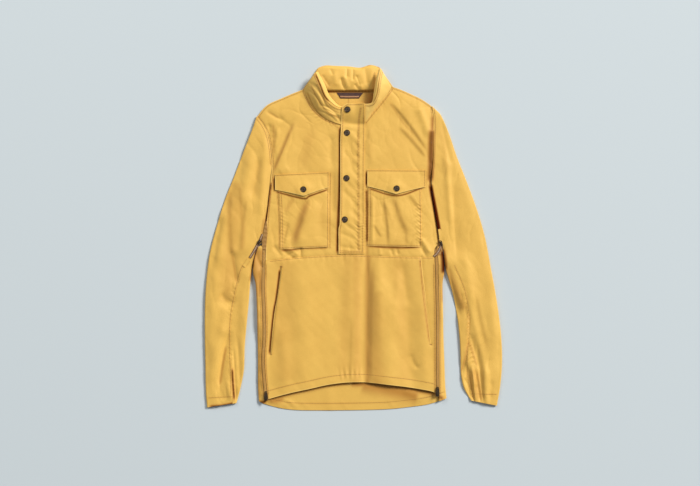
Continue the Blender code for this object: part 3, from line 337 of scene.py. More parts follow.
sleeveCreases = [
    (-215, 176, -232, 98, 0, 12, 8, 1.4, -3.0),
    (-234, 184, -256, 80, 0, 12, 12, 2.0, 3.0),
    (-204, 232, -212, 60, 0, 10, 10, 2.0, 2.4),
    (-292, 60, -312, -60, 0, 13, 13, 2.0, 3.0),
    (-252, 190, -290, 60, 6, 11, 11, 1.8, -2.0),
    (-306, 40, -322, -60, 0, 7, 7, 1.8, -1.6),
    (-276, -36, -267, -100, 0, 12, 7, 1.1, -4.2),
    (-303, -130, -276, -150, 5, 9, 12, 1.3, -4.0),
    (-318, -80, -326, -270, 0, 18, 18, 2.0, 3.0),
    (-296, -160, -300, -220, 0, 11, 11, 2.0, 2.0),
    (-289, -226, -308, -342, 4, 12, 5, 1.0, -6.0),
    (-300, -204, -328, -330, 0, 12, 12, 2.0, 2.6),
    (-266, -240, -261, -340, 0, 7, 6, 1.5, -3.0),
    (-254, -120, -256, -260, 0, 9, 9, 2.0, 2.0),
    (-276, -262, -270, -372, 0, 5, 3, 1.0, -3.8),
    (-238, -78, -246, -215, 0, 9, 12, 2.0, 3.4),
    (206, -42, 256, -166, 0, 30, 12, 1.7, 5.0),
    (264, -168, 262, -300, 4, 10, 16, 1.8, 2.6),
    (262, -310, 276, -372, 0, 4, 3, 1.0, -3.2),
    (290, -312, 298, -372, 0, 4, 3, 1.1, -3.0),
    (284, -250, 296, -330, 2, 5, 3, 1.1, -2.2),
    (-291, -330, -280, -372, 0, 6, 6, 2.0, 1.8),
    (-312, -345, -300, -372, 0, 8, 8, 2.0, -1.2),
    (226, 108, 237, -36, 0, 12, 8, 1.3, -2.8),  # right sleeve
    (212, 190, 226, 30, 0, 8, 8, 2.0, 2.6),
    (203, 266, 222, 176, 0, 12, 8, 1.4, -2.6),
    (219, -66, 240, -176, 0, 16, 10, 1.3, -4.2),
    (256, -40, 274, -150, 0, 13, 13, 2.0, 2.6),
    (266, -166, 251, -308, -6, 9, 6, 1.0, -4.8),
    (270, -228, 292, -306, 0, 7, 4, 1.0, -4.4),
    (270, -164, 309, -326, 0, 8, 8, 1.8, 1.6),
    (316, -80, 328, -250, 0, 14, 14, 2.0, 2.6),
    (261, -296, 268, -368, 0, 6, 4, 1.1, -4.0),
    (272, -296, 280, -372, 0, 4, 4, 1.3, 3.0),
    (280, -306, 291, -374, 0, 5, 3, 1.1, -4.0),
    (256, -326, 274, -352, 0, 4, 3, 1.2, -2.6),
    (284, -340, 274, -366, 0, 3, 3, 1.4, -1.8),
    (300, -296, 306, -378, 0, 8, 8, 2.0, 2.8),
    (318, -330, 312, -376, 0, 6, 6, 2.0, -1.6),
]

# a seam's route, wave length, how far it reaches on the left-hand and right-hand side, rise, slant
puckers = [
    ([(13.5, 250), (12.5, 180), (13, -38)], 8.5, 1.5, 9, 0.9, 0.9),
    ([(12.5, 246), (12.5, 120), (13, -38)], 23, 3, 13, 0.8, 1.1),
    ([(-168, 70), (-167, 30), (-165, -24)], 8, 9, 2, 0.35, -0.5),
    ([(153, 90), (154, 40), (154, -18)], 7.5, 6, 9, 0.45, 0.8),
    ([(148, 84), (149, 30), (150, -14)], 13, 8, 8, 0.5, -0.5),
    ([(-270, -104), (-279, -166), (-281, -231), (-279, -293)], 10, 2, 11, 0.8, 0.7),
    ([(252, -118), (262, -172), (270, -240), (276, -300)], 9, 6, 9, 1.2, -0.5),
    ([(-40, -318), (-8, -314), (38, -315)], 11, 14, 8, 0.8, 0.0),
    ([(-214, -40), (-216, -120), (-213, -240), (-211, -365)], 31, 7, 5, 0.5, 0.3),
    ([(-190, -60), (-123, -51), (-29, -46), (17, -47), (107, -50), (184, -51)], 13, 6, 5, 0.2, 0.0),
    ([(28, 120), (28, 40), (28, -20)], 7, 5, 2, 0.5, 0.5),
    ([(20, 240), (22, 120), (21, -30)], 6.5, 3, 5, 0.5, -0.6),
    ([(-190, 270), (-182, 225), (-182, 180)], 11, 3, 5, 0.2, 0.3),
    ([(30, 274), (44, 288), (58, 304), (76, 326)], 8, 5, 7, 0.4, 0.4),
    ([(-35, 252), (-58, 262), (-79, 275), (-100, 302)], 9, 5, 8, 0.4, -0.4),
]

# painted shade in gaps, under edges, beside seams and in folds: pieces, routes on them, half width, how
# strongly each paints shade, sharpness
gaps = {
    "chestLeft sleeveUpperLeft": [
        ([(-189, 128), (-193, 100), (-196, 74), (-201, 44), (-204, 22)], 2.4, 1.0, 3),
        ([(-206, 262), (-196, 236), (-190, 202), (-187, 160)], 1.2, 0.3, 2),
    ],
    "sleeveUpperLeft sleeveUnderLeft": [
        ([(-205, 46), (-208, 20), (-211, 4)], 4.0, 0.35, 3),
        ([(-279, -300), (-277, -335), (-274, -374)], 2.8, 1.0, 2),
        ([(-279, -36), (-274, -70), (-270, -104)], 3.0, 0.4, 2),
        ([(-222, -24), (-228, -48), (-233, -74), (-237, -100)], 3.0, 0.7, 2),
    ],
    "chestRight sleeveUpperRight": [
        ([(177, 124), (180, 104), (185.5, 76), (190.5, 50),
          (195.5, 22), (199, -5), (200, -20)], 5.4, 1.0, 5),
        ([(176, 150), (176, 130), (178, 108)], 2.6, 0.9, 3),
        ([(181.5, 282), (181, 262), (179.5, 236)], 4.5, 0.56, 2),
        ([(180.5, 250), (178.5, 216), (178, 158), (176.5, 128)], 7.6, 0.84, 3),
    ],
    "chestLeft": [
        ([(-199, 291), (-186, 284), (-170, 274)], 2.2, 0.3, 2),
        ([(-184, 262), (-184, 225), (-184, 196)], 2.0, 0.34, 2),
        ([(-146, 246), (-160, 208), (-172, 180), (-183, 156)], 2.4, 0.42, 2),
        ([(-31, 255), (-32, 130), (-36, 20), (-37, -36)], 3.4, 1.0, 3),
        ([(-182, 141), (-182, 124), (-181, 106)], 3.4, 1.0, 3),
        ([(-168, -29), (-143, -28), (-118, -24), (-58, -22.5)], 2.4, 0.9, 2),
        ([(-175, 104), (-171, 40), (-171, -26)], 1.8, 0.45, 2),
        ([(-39, 259), (-58, 267), (-78, 279), (-97, 299), (-111, 330)], 1.6, 0.5, 2),
    ],
    "chestRight": [
        ([(83, 310), (100, 285), (118, 259), (148, 230), (167, 203)], 1.8, 0.28, 2),
        ([(106, 253), (131, 232), (165, 186)], 1.8, 0.22, 2),
        ([(181, 240), (181, 205), (180, 178), (178, 137)], 2.2, 0.4, 2),
        ([(30, 154), (30, 118)], 3.2, 1.0, 3),
        ([(32, -18.5), (80, -22), (124, -22.5), (154, -20.5)], 2.6, 1.0, 2),
    ],
    "lowerFront": [
        ([(-169, -71), (-173, -106), (-178, -143), (-183, -170), (-189, -225), (-193, -268)], 3.2, 1.0, 3),
        ([(152, -47), (157, -100), (164, -160), (174, -240)], 1.8, 0.6, 2),
        ([(34, -30), (33, -100), (32, -240), (33, -340)], 7.0, 0.36, 2),
        ([(-165, -20), (-160, -120), (-156, -330)], 26.0, 0.1, 2),
        ([(-14, -20), (-16, -120), (-22, -330)], 15.0, 0.12, 2),
        ([(6, -30), (8, -180), (7, -350)], 12.0, 0.17, 2),
        ([(104, -20), (112, -120), (120, -330)], 16.0, 0.1, 2),
        ([(46, -120), (50, -260), (54, -360)], 18.0, 0.22, 2),
    ],
    "sleeveUpperLeft": [
        ([(-293, -250), (-300, -290), (-307, -338)], 3.0, 0.42, 2),
        ([(-332, -388), (-300, -385.5), (-270, -379)], 3.2, 1.0, 2),
        ([(-283, 110), (-284, 60), (-283, 10), (-279, -40)], 8.0, 0.26, 2),
        ([(-262, 120), (-258, 60), (-254, 20), (-257, -30)], 6.0, 0.24, 2),
        ([(-270, 130), (-274, 40), (-285, -60), (-290, -150)], 20.0, 0.17, 2),
        ([(-288, -110), (-292, -138)], 9.0, 0.22, 2),
    ],
    "sleeveUpperRight sleeveUnderRight": [
        ([(266, -235), (258, -270), (249, -308)], 2.4, 0.4, 2),
        ([(264, -235), (275, -268), (285, -296)], 2.4, 0.35, 2),
        ([(272, -300), (282, -336), (286, -374)], 13.0, 0.22, 2),
        ([(266, -312), (276, -370)], 2.4, 0.45, 2),
        ([(284, -306), (295, -374)], 2.4, 0.45, 2),
        ([(204, -24), (208, -46), (212, -76)], 6.0, 0.85, 3),
    ],
    "chestRight chestPocketRight": [
        ([(30, 112), (31, 60), (31, -12)], 2.8, 1.0, 2),
    ],
    "chestRight lowerFront": [
        ([(31, -8), (31, -50), (30, -200), (29, -350)], 3.0, 0.3, 2),
    ],
    "chestPocketLeft chestLeft": [
        ([(-180, 106), (-116, 90), (-100, 96), (-58, 111)], 2.2, 0.9, 3),
    ],
    "chestPocketRight chestRight": [
        ([(34, 113.5), (99, 96.5), (162, 116)], 2.2, 0.85, 3),
    ],
    "backPanel": [
        ([(18, -338), (70, -347), (112, -356), (150, -366)], 17.0, 0.5, 2),
        ([(-197, -374), (-146, -359), (-100, -349), (-54, -339), (-8, -334)], 4.0, 0.65, 2),
        ([(-8, -335), (38, -336), (84, -341), (130, -347), (176, -355), (192, -361)], 7.0, 0.75, 2),
        ([(-219, -376), (-209, -378), (-198, -373)], 4.0, 1.0, 2),
        ([(-196, -374), (-180, -376), (-160, -371)], 6.0, 0.5, 2),
        ([(209, -371), (202, -368), (194, -361)], 5.0, 0.8, 2),
        ([(-218, -24), (-222, -46), (-225, -74), (-222, -98), (-220, -140)], 15.0, 0.42, 3),
        ([(-224, -24), (-229, -46), (-232, -74)], 4.0, 0.95, 2),
        ([(-207, -20), (-211, -42), (-216, -70), (-218, -110)], 1.8, 0.55, 2),
        ([(203, -26), (207, -46), (208, -84)], 8.0, 1.0, 3),
        ([(208, -80), (206, -150)], 7.0, 0.35, 2),
        ([(-224, -130), (-221, -240), (-220, -372)], 8.0, 0.36, 2),
    ],
    "sleeveUnderRight sleeveUpperRight": [
        ([(212, -66), (230, -104), (243, -138), (254, -168)], 9.0, 0.3, 3),
    ],
    "neckFacing": [
        ([(-100, 335), (-40, 335.5), (60, 335)], 2.0, 1.0, 2),
        ([(50, 338), (49, 322), (46, 300)], 21.0, 0.72, 2),
        ([(-11.5, 324), (-11.5, 314), (-12, 302)], 1.4, 0.5, 2),
    ],
    "collarBack": [
        ([(-100, 338), (-66, 337), (-13, 337), (42, 338), (66, 341)], 1.4, 0.8, 2),
        ([(46, 338), (58, 346), (61, 366)], 6.0, 0.6, 2),
        ([(-86, 380), (-80, 356), (-68, 338)], 3.0, 0.7, 2),
        ([(30, 396), (44, 400), (56, 395), (61, 388)], 2.0, 0.7, 2),
        ([(18, 390), (28, 397)], 1.6, 0.4, 2),
    ],
    "collarLeft": [
        ([(-88, 376), (-77, 350), (-67, 325), (-56, 311)], 2.0, 1.0, 2),
        ([(-98, 351), (-82, 317), (-59, 289), (-29, 273)], 1.4, 0.45, 2),
        ([(-86, 354), (-70, 317), (-52, 296), (-29, 285)], 1.3, 0.35, 2),
        ([(-107, 335), (-91, 301), (-66, 273), (-36, 260)], 1.4, 0.5, 2),
    ],
    "collarRight": [
        ([(45, 308), (54, 328), (58, 356), (62, 380)], 1.4, 0.5, 2),
    ],
}


def besideZips(start, away):  # routes beside the side zips: on the front, left and right, then behind
    steps = ((leftZip, away), (rightZip, -away), (leftZip, -away), (rightZip, away))
    return [[(float(sideAt(y, column)) + step, y) for y in range(start, -30, 30)] for column, step in steps]


frontLeft, frontRight, backLeft, backRight = besideZips(-372, 4.6)
# painted shade along both edges of each side zip, in front and behind
gaps["lowerFront"] += [(frontLeft, 1.2, 0.5, 2), (frontRight, 1.2, 0.3, 2)]
gaps["backPanel"] += [(backLeft, 1.2, 0.5, 2), (backRight, 1.2, 0.3, 2)]
gapLines = [(names.split(), dense(route, 2.0), *rest)
            for names, routes in gaps.items() for route, *rest in routes]
puckerLines = [(dense(route), *rest) for route, *rest in puckers]
pins = []  # x, y, reach and rise that bring the cloth to each fastener's own height


def alongLine(x, y, over, startX, startY, endX, endY, bend):  # how far across it, how strong there
    runX = endX - startX
    runY = endY - startY
    length = math.hypot(runX, runY)
    share = ((x - startX) * runX + (y - startY) * runY) / length**2
    across = ((x - startX) * runY - (y - startY) * runX) / length
    across = across - bend * 4 * share * (1 - share)
    return across, ease((share + over) / cloth["endFade"]) * ease((1 + over - share) / cloth["endFade"])


def creaseRise(x, y, table):
    rise = np.zeros_like(x)
    for *line, left, right, sharp, high in table:
        across, taper = alongLine(x, y, cloth["creaseOver"], *line)
        width = np.where(across > 0, right, left)
        rise += high * taper * np.exp(-(np.abs(across / width) ** sharp))
    return rise


def stepRise(x, y, table):
    rise = np.zeros_like(x)
    for *line, width, fade, high in table:
        across, taper = alongLine(x, y, cloth["stepOver"], *line)
        rise -= high / 2 * taper * np.tanh(across / width) * np.exp(-((across / fade) ** 2))
    return rise


# painted shade along each step fold, stronger for a higher step
def stepShade(x, y, table):
    shade = np.zeros_like(x)
    for *line, width, _, high in table:
        across, taper = alongLine(x, y, cloth["stepOver"], *line)
        shade = np.maximum(shade, cloth["foldShade"] * high * taper * np.exp(-((across / width) ** 2)))
    return shade


def puckerRise(x, y):
    rise = np.zeros_like(x)
    for line, wave, left, right, high, slant in puckerLines:
        where, away, side, along = nearLine(x, y, line, 2.5 * max(left, right))
        if len(where) == 0:
            continue
        total = lengthAlong(line)[-1]
        reach = np.where(side > 0, right, left)
        fade = np.exp(-((away / reach) ** 1.5)) * ease(along / 15) * ease((total - along) / 15)
        drift = 1.3 * np.sin(along / 17) + 0.8 * np.sin(along / 7.3)
        rise[where] += high * fade * np.sin(2 * math.pi * (along + slant * away + drift) / wave)
    return rise


def unevenRise(x, y):
    rise = np.zeros_like(x)
    for k, (wave, high) in enumerate(cloth["swells"]):
        u, v = turned(x, y, 0.9 + 1.7 * k)
        rise += high * np.sin(2 * math.pi * u / wave + k) * np.sin(2 * math.pi * v / (wave * 1.4) + 2 * k)
    return cloth["uneven"] * rise


def crinkleRise(x, y):  # thin wandering wrinkles, in patches
    rise = np.zeros_like(x)
    for k, (wave, turn, high) in enumerate(cloth["wrinkles"]):
        u, v = turned(x, y, turn)
        u = u + 7 * np.sin(v / 23 + k) + 3.5 * np.sin(v / 9.5 + 2 * k) + 5 * np.sin(u / 31)
        patch = 0.5 + 0.5 * np.sin(v / 27 + 3 * k) * np.sin(u / 39 + k)
        rise -= high * patch**2 * (1 - np.abs(np.sin(math.pi * u / wave))) ** 3.5
    return cloth["crinkle"] * rise


def sideDrop(x, y):
    fade = ease((cut["sideTop"] - y) / cloth["armpitFade"])
    left = np.maximum(x - sideAt(y, leftFold), 0) / cloth["sideReach"]
    right = np.maximum(sideAt(y, rightFold) - x, 0) / cloth["sideReach"]
    drop = cloth["sideDrop"] * (np.exp(-(left**1.6)) + np.exp(-(right**1.6)))
    swell = cloth["sideSwell"] * (np.exp(-((left - 1.6) ** 2)) + np.exp(-((right - 1.6) ** 2)))
    return fade * (drop - swell)


def pinRise(x, y):
    rise = np.zeros_like(x)
    for pinX, pinY, reach, high in pins:
        rise += high * np.exp(-((x - pinX) ** 2 + (y - pinY) ** 2) / reach**2)
    return rise


def notBelow(z, least, soft=0.6):  # a floor that the cloth meets softly
    lift = (z - least) / soft
    return least + soft * np.where(lift > 20, lift, np.log1p(np.exp(np.minimum(lift, 20))))


# route, depth at its start and end, reach on the left-hand and right-hand side
frontDips = [
    (cut["armholeLeft"][:5], 1.6, 1.0, 6, 6),
    (cut["armholeRight"][:5], 0.8, 1.8, 9, 9),
    (cut["armholeRight"][4:], 1.8, 3.6, 9, 9),
    (cut["shoulderLeft"], 3.0, 2.6, 12, 12),
    (cut["shoulderRight"], 2.6, 3.0, 12, 12),
    ([(-167, -72), (-171, -106), (-180, -170), (-190.5, -267)], 2.4, 2.4, 2, 6),
    ([(155, -45), (167, -150), (177, -244)], 1.8, 1.8, 5, 2),
    ([(-190, -52)] + cut["waist"][1:], 0.7, 0.7, 3, 3),
]
sleeveDips = [
    (cut["armholeLeft"][:5], 1.4, 2.0, 7, 7),
    (cut["armholeLeft"][4:], 2.0, 3.0, 8, 8),
    (cut["armholeRight"][:5], 0.6, -0.4, 9, 9),
    (cut["armholeRight"][4:], -0.4, -1.4, 9, 9),
]


def dipRise(x, y, table):
    rise = np.zeros_like(x)
    for route, first, last, left, right in table:
        line = dense(route)
        where, away, side, along = nearLine(x, y, line, 3 * max(left, right))
        if len(where) == 0:
            continue
        depth = first + (last - first) * along / lengthAlong(line)[-1]
        reach = np.where(side > 0, right, left)
        rise[where] -= depth * np.exp(-((away / reach) ** 1.3))
    return rise


def flatten(job):  # lets a height rule take any array of places
    def run(x, y):
        x, y = np.broadcast_arrays(np.asarray(x, float), np.asarray(y, float))
        return job(x.ravel().copy(), y.ravel().copy()).reshape(x.shape)

    return run


@flatten
def frontHeight(x, y):  # top of the front over the body
    z = cloth["laid"] + creaseRise(x, y, frontCreases) + stepRise(x, y, frontSteps) - sideDrop(x, y)
    calm = cloth["lowerCrinkle"] + (1 - cloth["lowerCrinkle"]) * ease((y + 70) / 40)
    z += puckerRise(x, y) + unevenRise(x, y) + crinkleRise(x, y) * calm
    z += dipRise(x, y, frontDips) + pinRise(x, y)
    return notBelow(z, cloth["least"])


@flatten
def sleeveHeight(x, y):
    z = cloth["laid"] + creaseRise(x, y, sleeveCreases) + stepRise(x, y, sleeveSteps) + puckerRise(x, y)
    z += unevenRise(x, y) + crinkleRise(x, y) + dipRise(x, y, sleeveDips)
    return notBelow(z, cloth["least"])


# the painted shade of a piece: from its step folds and from the lines that name it
def gapShade(name, x, y):
    shade = np.zeros_like(x)
    if name.startswith(("chest", "lower")):
        shade = stepShade(x, y, frontSteps)
    elif name.startswith("sleeve"):
        shade = stepShade(x, y, sleeveSteps)
    for names, line, width, strength, sharp in gapLines:
        if name not in names:
            continue
        where, away, _, along = nearLine(x, y, line, 2.5 * width)
        if len(where) == 0:
            continue
        ends = ease(along / 12 + 0.3) * ease((lengthAlong(line)[-1] - along) / 12 + 0.3)
        shade[where] = np.maximum(shade[where], strength * ends * np.exp(-((away / width) ** sharp)))
    return shade


# materials


def srgb(code):  # "#rrggbb" to linear colour
    parts = [int(code[k : k + 2], 16) / 255 for k in (1, 3, 5)]
    return [p / 12.92 if p <= 0.04045 else ((p + 0.055) / 1.055) ** 2.4 for p in parts] + [1.0]


def addNode(tree, kind, settings=(), inputs=(), links=()):
    node = tree.nodes.new(kind)
    for key, value in dict(settings).items():
        setattr(node, key, value)
    for key, value in dict(inputs).items():
        node.inputs[key].default_value = value
    for key, source in dict(links).items():
        tree.links.new(source, node.inputs[key])
    return node


def newMaterial(name, roughness, metallic=0.0, **sockets):
    made = bpy.data.materials.new(name)
    made.use_nodes = True
    shader = made.node_tree.nodes["Principled BSDF"]
    shader.inputs["Roughness"].default_value = roughness
    shader.inputs["Metallic"].default_value = metallic
    for key, value in sockets.items():
        shader.inputs[key.replace("_", " ")].default_value = value
    return made, made.node_tree, shader


# Nylon shell cloth, plain woven, piece dyed and peached: matt, a soft sheen; a painted highlight along
# chosen edges, painted shade in folds and gaps
clothLook = {
    "face": "#e8ba56",
    "shade": "#d9a848",
    # painted highlight along chosen edges
    "rubbed": "#f2c96c",
    # painted shade: the tone of a fold, then the dark of a gap
    "fold": "#bc8330",
    "deep": "#4a1606",
    "threadMm": 1.1,  # real threads are 0.25 mm apart, drawn coarser so that they show
    "bump": 0.25,
}


def wovenCloth(name, look):
    made, tree, shader = newMaterial(name, 0.62, Sheen_Roughness=0.45)
    shader.inputs["Sheen Tint"].default_value = srgb("#fff0d4")
    spot = addNode(tree, "ShaderNodeTexCoord").outputs["Object"]
    weaveMap = addNode(tree, "ShaderNodeUVMap", {"uv_map": "cloth"}).outputs["UV"]
    mottle = addNode(tree, "ShaderNodeTexNoise", {}, {"Scale": 14.0, "Detail": 4.0, "Roughness": 0.6},
                     {"Vector": spot})
    slub = addNode(tree, "ShaderNodeTexNoise", {}, {"Scale": 420.0, "Detail": 2.0}, {"Vector": spot})
    face = addNode(tree, "ShaderNodeMix", {"data_type": "RGBA"},
                   {"A": srgb(look["face"]), "B": srgb(look["shade"])},
                   {"Factor": mottle.outputs["Fac"]})
    tone = addNode(tree, "ShaderNodeMapRange", {}, {"To Min": 0.94, "To Max": 1.06},
                   {"Value": slub.outputs["Fac"]})
    toned = addNode(tree, "ShaderNodeVectorMath", {"operation": "SCALE"}, {},
                    {"Vector": face.outputs["Result"], "Scale": tone.outputs["Result"]})
    # painted highlight: paler along the edges that the rim values mark
    rim = addNode(tree, "ShaderNodeAttribute", {"attribute_name": "rim"}).outputs["Fac"]
    colour = addNode(tree, "ShaderNodeMix", {"data_type": "RGBA"}, {"B": srgb(look["rubbed"])},
                     {"Factor": rim, "A": toned.outputs["Vector"]})
    # painted shade: towards the fold tone, then towards the gap colour
    deep = addNode(tree, "ShaderNodeAttribute", {"attribute_name": "deep"}).outputs["Fac"]
    for key, part in (("fold", {"From Max": 0.5}), ("deep", {"From Min": 0.5})):
        share = addNode(tree, "ShaderNodeMapRange", {}, part, {"Value": deep})
        colour = addNode(tree, "ShaderNodeMix", {"data_type": "RGBA"}, {"B": srgb(look[key])},
                         {"Factor": share.outputs["Result"], "A": colour.outputs["Result"]})
    tree.links.new(colour.outputs["Result"], shader.inputs["Base Color"])
    for key, most in (("Sheen Weight", 0.2), ("Specular IOR Level", 0.5)):  # none where shade is painted
        kept = addNode(tree, "ShaderNodeMapRange", {}, {"From Min": 0.4, "To Min": most, "To Max": 0.0},
                       {"Value": deep})
        tree.links.new(kept.outputs["Result"], shader.inputs[key])
    warp, weft = [addNode(tree, "ShaderNodeTexWave", {"bands_direction": way},
                          {"Scale": 0.5 / look["threadMm"]}, {"Vector": weaveMap}) for way in "XY"]
    weave = addNode(tree, "ShaderNodeMath", {"operation": "MULTIPLY"}, {},
                    {0: warp.outputs["Fac"], 1: weft.outputs["Fac"]})
    raised = addNode(tree, "ShaderNodeMath", {"operation": "ADD"}, {},
                     {0: weave.outputs["Value"], 1: slub.outputs["Fac"]})
    bump = addNode(tree, "ShaderNodeBump", {}, {"Strength": look["bump"], "Distance": 0.0003},
                   {"Height": raised.outputs["Value"]})
    tree.links.new(bump.outputs["Normal"], shader.inputs["Normal"])
    return made


mustardCloth = wovenCloth("mustardNylonCloth", clothLook)
tapeLook = dict(clothLook, face="#b0823e", shade="#94682c", rubbed="#c0924a", fold="#8a5c26",
                threadMm=1.6, bump=0.5)
brownTape = wovenCloth("brownZipTape", tapeLook)
# the underarm zips' tape: brown, and drawn darker as painted shade of the armhole gap it lies in
darkTapeLook = dict(tapeLook, face="#7a4522", shade="#5f3218", rubbed="#8c5430", fold="#5a2c14")
darkTape = wovenCloth("darkBrownZipTape", darkTapeLook)
# a dark sheet where there is only the shade inside a pocket slit: painted shade
slitShadeLook = dict(clothLook, face="#3c1408", shade="#2c0d05", rubbed="#4c2010", fold="#300f06")
slitShadeMaterial = wovenCloth("shadedNylonCloth", slitShadeLook)
darkLook = dict(clothLook, face="#4a2a22", shade="#3a1f1a", rubbed="#5c3a30", fold="#38201a",
                threadMm=1.4, bump=0.5)
darkWebbing = wovenCloth("darkPolyesterWebbing", darkLook)
cordLook = dict(clothLook, face="#b98a62", shade="#9c6f4c", rubbed="#cda27c", fold="#8a6242",
                threadMm=1.2, bump=0.5)
paleCord = wovenCloth("twillLoopTape", cordLook)


def twoTones(tree, first, second, scale, detail):  # a colour that varies in clouds, and the clouds
    spot = addNode(tree, "ShaderNodeTexCoord").outputs["Object"]
    cloud = addNode(tree, "ShaderNodeTexNoise", {}, {"Scale": scale, "Detail": detail}, {"Vector": spot})
    tone = addNode(tree, "ShaderNodeMix", {"data_type": "RGBA"}, {"A": srgb(first), "B": srgb(second)},
                   {"Factor": cloud.outputs["Fac"]})
    return tone.outputs["Result"], cloud.outputs["Fac"]


def ringSnapMetal(name):  # lacquered brass: dark bronze wall, a nickel-grey face made lighter by a painted reflection
    made, tree, shader = newMaterial(name, 0.36, 0.6)
    face = addNode(tree, "ShaderNodeAttribute", {"attribute_name": "face"}).outputs["Fac"]
    metal, _ = twoTones(tree, "#231b14", "#7c6c5a", 700.0, 3.0)
    tone = addNode(tree, "ShaderNodeMix", {"data_type": "RGBA"}, {"A": srgb("#3a2415")},
                   {"Factor": face, "B": metal})
    tree.links.new(tone.outputs["Result"], shader.inputs["Base Color"])
    return made


def agedBronze(name):  # die-cast zinc, plated antique bronze: dark, pale where it is handled
    made, tree, shader = newMaterial(name, 0.38, 0.7)
    tone, cloud = twoTones(tree, "#2a1f15", "#6e5c48", 700.0, 4.0)
    tree.links.new(tone, shader.inputs["Base Color"])
    rough = addNode(tree, "ShaderNodeMapRange", {}, {"To Min": 0.28, "To Max": 0.5}, {"Value": cloud})
    tree.links.new(rough.outputs["Result"], shader.inputs["Roughness"])
    return made


def spunThread(name, code):  # core-spun polyester sewing thread, dyed to the cloth, a little shiny; drawn darker than the cloth as painted shade of the dents the stitches sink into
    made, tree, shader = newMaterial(name, 0.55, Sheen_Weight=0.1)
    tone, _ = twoTones(tree, code, "#a86f2a", 2400.0, 1.0)
    tree.links.new(tone, shader.inputs["Base Color"])
    return made


def mouldedNylon(name, code, pale):  # extruded nylon monofilament coil: smooth, slightly glossy
    made, tree, shader = newMaterial(name, 0.35)
    shader.inputs["IOR"].default_value = 1.53
    tone, _ = twoTones(tree, code, pale, 160.0, 2.0)
    tree.links.new(tone, shader.inputs["Base Color"])
    return made


snapMetal = ringSnapMetal("lacqueredBrassSnap")
bronze = agedBronze("agedBronzePlating")
# its dark brown is partly painted shade of the stitch dents
thread = spunThread("spunPolyesterThread", "#7c4714")
brownCoil = mouldedNylon("brownNylonCoil", "#d0a04e", "#e0b365")
paleCoil = mouldedNylon("paleNylonCoil", "#cfae82", "#efdcbc")

# meshes of cloth


def wallFaces(rows, cols, keep):
    r, c = np.meshgrid(np.arange(rows - 1), np.arange(cols - 1), indexing="ij")
    if keep is not None:
        there = keep(r, c)
        r, c = r[there], c[there]
    a = (r * cols + c).ravel()
    return np.stack([a, a + 1, a + cols + 1, a + cols], axis=1)


def boundary(faces, count):
    start = faces.ravel()
    end = np.roll(faces, -1, axis=1).ravel()
    owner = np.repeat(np.arange(len(faces)), 4)
    lone = ~np.isin(start * count + end, end * count + start)
    return start[lone], end[lone], owner[lone]


def wallMesh(name, outer, inner, keep=None, grain=0.0, bulge=0.35, pale="", worn=0.0):
    # a closed wall of cloth between two grids of points, with a rounded edge
    rows, cols = outer.shape[:2]
    top = outer.reshape(-1, 3)
    low = inner.reshape(-1, 3)
    faces = wallFaces(rows, cols, keep)
    count = len(top)
    start, end, owner = boundary(faces, count)
    corners = top[faces[owner]]
    normal = np.cross(corners[:, 2] - corners[:, 0], corners[:, 3] - corners[:, 1])
    outwards = np.cross(top[end] - top[start], normal)
    outwards /= np.maximum(np.linalg.norm(outwards, axis=1), 1e-9)[:, None]
    push = np.zeros_like(top)
    np.add.at(push, start, outwards)
    np.add.at(push, end, outwards)
    rim = np.unique(np.concatenate([start, end]))
    slot = np.full(count, -1)
    slot[rim] = np.arange(len(rim)) + 2 * count
    way = push[rim] / np.maximum(np.linalg.norm(push[rim], axis=1), 1e-9)[:, None]
    thick = np.linalg.norm(top[rim] - low[rim], axis=1)[:, None]
    middle = (top[rim] + low[rim]) / 2 + way * thick * bulge
    verts = np.vstack([top, low, middle])
    sides = [
        np.stack([end, start, slot[start], slot[end]], axis=1),
        np.stack([slot[end], slot[start], start + count, end + count], axis=1),
    ]
    allFaces = np.vstack([faces, faces[:, ::-1] + count] + sides)
    used = np.unique(allFaces)
    renumber = np.full(len(verts), -1)
    renumber[used] = np.arange(len(used))
    verts = verts[used]
    row, col = np.divmod(rim, cols)
    edges = {"bottom": row == 0, "top": row == rows - 1, "left": col == 0, "right": col == cols - 1}
    # painted highlight: the edges named in pale get it fully, the rest of the piece by the share given
    lit = np.zeros(len(rim), bool)
    for side in pale.split():
        lit |= edges[side]
    edge = np.full(2 * count + len(rim), worn)
    edge[rim[lit]] = 1.0
    edge[2 * count :][lit] = 1.0
    mesh = bpy.data.meshes.new(name)
    mesh.from_pydata((verts * mm).tolist(), [], renumber[allFaces].tolist())
    # painted shade of folds and gaps, then the painted highlight of the edges, kept on the points
    deep = gapShade(name, verts[:, 0], verts[:, 1])
    for label, values in (("deep", deep), ("rim", edge[used])):
        layer = mesh.attributes.new(label, "FLOAT", "POINT")
        layer.data.foreach_set("value", values.astype(np.float32))
    loops = np.empty(len(mesh.loops), np.int32)
    mesh.loops.foreach_get("vertex_index", loops)
    u, v = turned(verts[:, 0], verts[:, 1], math.radians(grain))
    spots = np.stack([u[loops], v[loops]], axis=1).astype(np.float32)
    mesh.uv_layers.new(name="cloth").data.foreach_set("uv", spots.ravel())
    made = bpy.data.objects.new(name, mesh)
    bpy.context.scene.collection.objects.link(made)
    tidyMesh(made)
    mesh.shade_smooth()
    mesh.set_sharp_from_angle(angle=math.radians(42))
    return made


def tidyMesh(made):
    bm = bmesh.new()
    bm.from_mesh(made.data)
    bmesh.ops.remove_doubles(bm, verts=bm.verts, dist=1e-6)
    bm.to_mesh(made.data)
    bm.free()


def clothSheet(name, grid, thick=None, **more):  # a wall below a grid of top points
    thick = thick or cloth["thick"]
    return wallMesh(name, grid, grid - np.array([0, 0, thick]), **more)


def finish(made, nodes=(), material=None):  # its body, node and material
    made.data.materials.append(material or mustardCloth)
    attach(made, "garment")
    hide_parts(*nodes)
    return made


def clothPiece(name, nodes, grid, thick=None, material=None, slot="shell_cloth", **more):
    return finish(clothSheet(name, grid, thick, **more), nodes, material)


